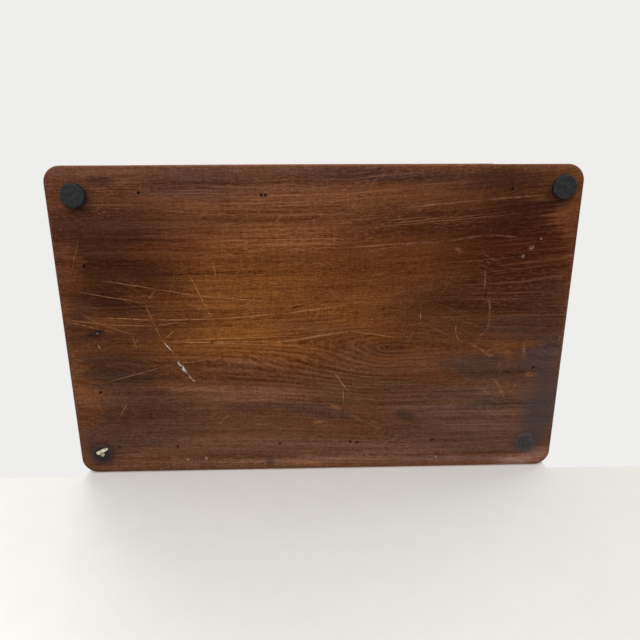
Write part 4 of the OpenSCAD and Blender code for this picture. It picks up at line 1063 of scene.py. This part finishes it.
# the scrap of backing paper still stuck in the left patch: a flag with one folded corner
paperScrap = {
    "outline": [(-145.4, 82.4), (-140.4, 79.8), (-137.7, 79.1), (-137.6, 80.5), (-140.7, 82.7), (-139.7, 83.8),
                (-141.4, 85.6), (-142.7, 84.3), (-144.9, 83.9)],
    "lift": [0.05, 0.0, 0.12, 0.30, 0.04, 0.20, 0.10, 0.0, 0.0],
    "thick": 0.09, "depth": 0.36,                       # how far under the board it lies, on the glue
    "paper": rgb(208, 200, 178), "stain": rgb(140, 128, 104),
}


def makeScrap():
    deselect()
    bpy.ops.mesh.primitive_circle_add(vertices=len(paperScrap["outline"]), radius=1.0, fill_type="NGON")
    piece = bpy.context.object
    piece.name = "paperScrap"
    for vertex, (x, y), lift in zip(piece.data.vertices, paperScrap["outline"], paperScrap["lift"]):
        vertex.co = Vector((x, y, boardLow / mm - paperScrap["depth"] - lift)) * mm
    bpy.ops.object.mode_set(mode="EDIT")
    bpy.ops.mesh.select_all(action="SELECT")
    bpy.ops.mesh.poke()
    bpy.ops.mesh.subdivide(number_cuts=2)
    bpy.ops.mesh.extrude_region_move(TRANSFORM_OT_translate={"value": (0, 0, -paperScrap["thick"] * mm)})
    bpy.ops.mesh.select_all(action="SELECT")
    bpy.ops.mesh.normals_make_consistent(inside=False)
    bpy.ops.object.mode_set(mode="OBJECT")
    return piece


def paintScrap():
    paint, place = startPaint("torn backing paper")
    fibres = clouds(place, 1.4, 4.0, 0.6)
    stain = clouds(place, 0.35, 3.0, 0.6)
    colour = mixed(paperScrap["paper"], paperScrap["stain"], stain.fade(0.4, 0.66))
    values = {"Base Color": colour, "Roughness": 0.8 + (fibres - 0.5) * 0.2, "Specular IOR Level": 0.3}
    return finishPaint(paint, place, values, fibres, 0.1)


scrapPiece = makeScrap()
dress(scrapPiece, paintScrap(), "case", "glue", "glue_patches")
print("foot residues made")


# floors: one under the standing box, one that the box lies on in the first view
stageLook = {
    "floor": rgb(232, 230, 226), "tooth": rgb(226, 224, 220),
    "sky": 0.86, "lampLevel": 0.68,                     # the sky as it is seen, and as it lights
    "size": 6.0,
    "rest": (2.4, 0.9), "restMiddle": -0.4502, "restGap": 0.0003, "restFade": (0.75, 0.42),
    "tongue": (0.306, 0.0086), "tongueMiddle": 0.0041,
}


def seenRays(tree):
    rays = tree.nodes.new("ShaderNodeLightPath")
    kinds = [Sock(tree, rays.outputs["Is " + kind + " Ray"]) for kind in ("Camera", "Glossy", "Transmission")]
    return kinds[0].most(kinds[1]).most(kinds[2])


def paintFloor(name, fadeOut):
    # only seen from its own side, so that light still reaches the underside
    paint = bpy.data.materials.new(name)
    paint.use_nodes = True
    tree = paint.node_tree
    tree.nodes.clear()
    seen = seenRays(tree)
    away = Sock(tree, tree.nodes.new("ShaderNodeNewGeometry").outputs["Backfacing"])
    place = Sock(tree, tree.nodes.new("ShaderNodeTexCoord").outputs["Object"])
    tooth = clouds(place, 60.0, 3.0)
    colour = mixed(stageLook["floor"], stageLook["tooth"], tooth)
    shown = seen * (1 - away)
    if fadeOut:
        far = place.add("VectorMath", {"operation": "LENGTH"}, {0: place}, 1)
        shown = shown * far.fade(*fadeOut)
    clear = place.add("BsdfTransparent", {}, {})
    solid = place.add("BsdfDiffuse", {}, {"Color": colour})
    both = place.add("MixShader", {}, {0: shown, 1: clear, 2: solid})
    place.add("OutputMaterial", {}, {"Surface": both})
    return paint


def backSheet(size, middle):
    # an upright sheet just behind the box
    bpy.ops.mesh.primitive_plane_add(size=1.0, location=(0, 0, 0))
    sheet = bpy.context.object
    sheet.scale = (*size, 1.0)
    sheet.rotation_euler = (math.radians(90), 0, 0)
    sheet.location = (0, cadBox[1][1] + stageLook["restGap"], middle)
    settle(sheet)
    return sheet


deselect()
bpy.ops.mesh.primitive_plane_add(size=stageLook["size"], location=(0, 0, 0))
floor = bpy.context.object
floor.name = "floor"
floor.data.materials.append(paintFloor("floor paint", None))
restFloor = backSheet(stageLook["rest"], stageLook["restMiddle"])
tongue = backSheet(stageLook["tongue"], stageLook["tongueMiddle"])      # reaches up to the board's lower edge
restFloor = joinPieces([restFloor, tongue], "rest_floor")
restFloor.data.materials.append(paintFloor("rest floor paint", stageLook["restFade"]))

world = bpy.data.worlds.new("studio")
bpy.context.scene.world = world
world.use_nodes = True
skyTree = world.node_tree
skyTree.nodes.clear()
seen = seenRays(skyTree)
level = seen * stageLook["sky"] + (1 - seen) * stageLook["lampLevel"]
sky = seen.add("Background", {}, {"Color": (1.0, 0.995, 0.985, 1.0), "Strength": level})
seen.add("OutputWorld", {}, {"Surface": sky})

# place, aim, size and watts of each soft lamp
lamps = {
    "key": ((-0.8, -1.1, 1.3), (0, 0, 0.07), 0.9, 15.0),
    "fill": ((1.2, -0.7, 0.8), (0, 0, 0.07), 1.0, 6.0),
    "top": ((0.1, 0.5, 1.5), (0, 0, 0.1), 1.0, 8.0),
    "under": ((-0.15, -1.0, -0.9), (0, 0, 0.0), 0.8, 10.0),
}
for name, (spot, aim, size, power) in lamps.items():
    lamp = bpy.data.lights.new(name, "AREA")
    lamp.size = size
    lamp.energy = power
    holder = bpy.data.objects.new(name, lamp)
    holder.location = spot
    holder.rotation_euler = (Vector(aim) - Vector(spot)).to_track_quat("-Z", "Y").to_euler()
    bpy.context.scene.collection.objects.link(holder)

# the first view looks straight at the underside of the box, which lies on its back
viewpoint = {
    "place": (-0.0077, -0.0990, -0.3169), "turn": (180 - 16.21, 1.66, 0.18),
    "sensor": 36, "focal": 540.8 / 640,                 # focal length as a share of the picture's width
    "nearest": 0.01,
}
camera = bpy.data.cameras.new("camera")
camera.sensor_width = viewpoint["sensor"]
camera.lens = viewpoint["focal"] * viewpoint["sensor"]
camera.clip_start = viewpoint["nearest"]
cameraHolder = bpy.data.objects.new("camera", camera)
cameraHolder.location = viewpoint["place"]
cameraHolder.rotation_euler = [math.radians(turn) for turn in viewpoint["turn"]]
bpy.context.scene.collection.objects.link(cameraHolder)
bpy.context.scene.camera = cameraHolder
bpy.context.scene.view_settings.view_transform = "Standard"
print("stage, lamps and camera set")

deselect()
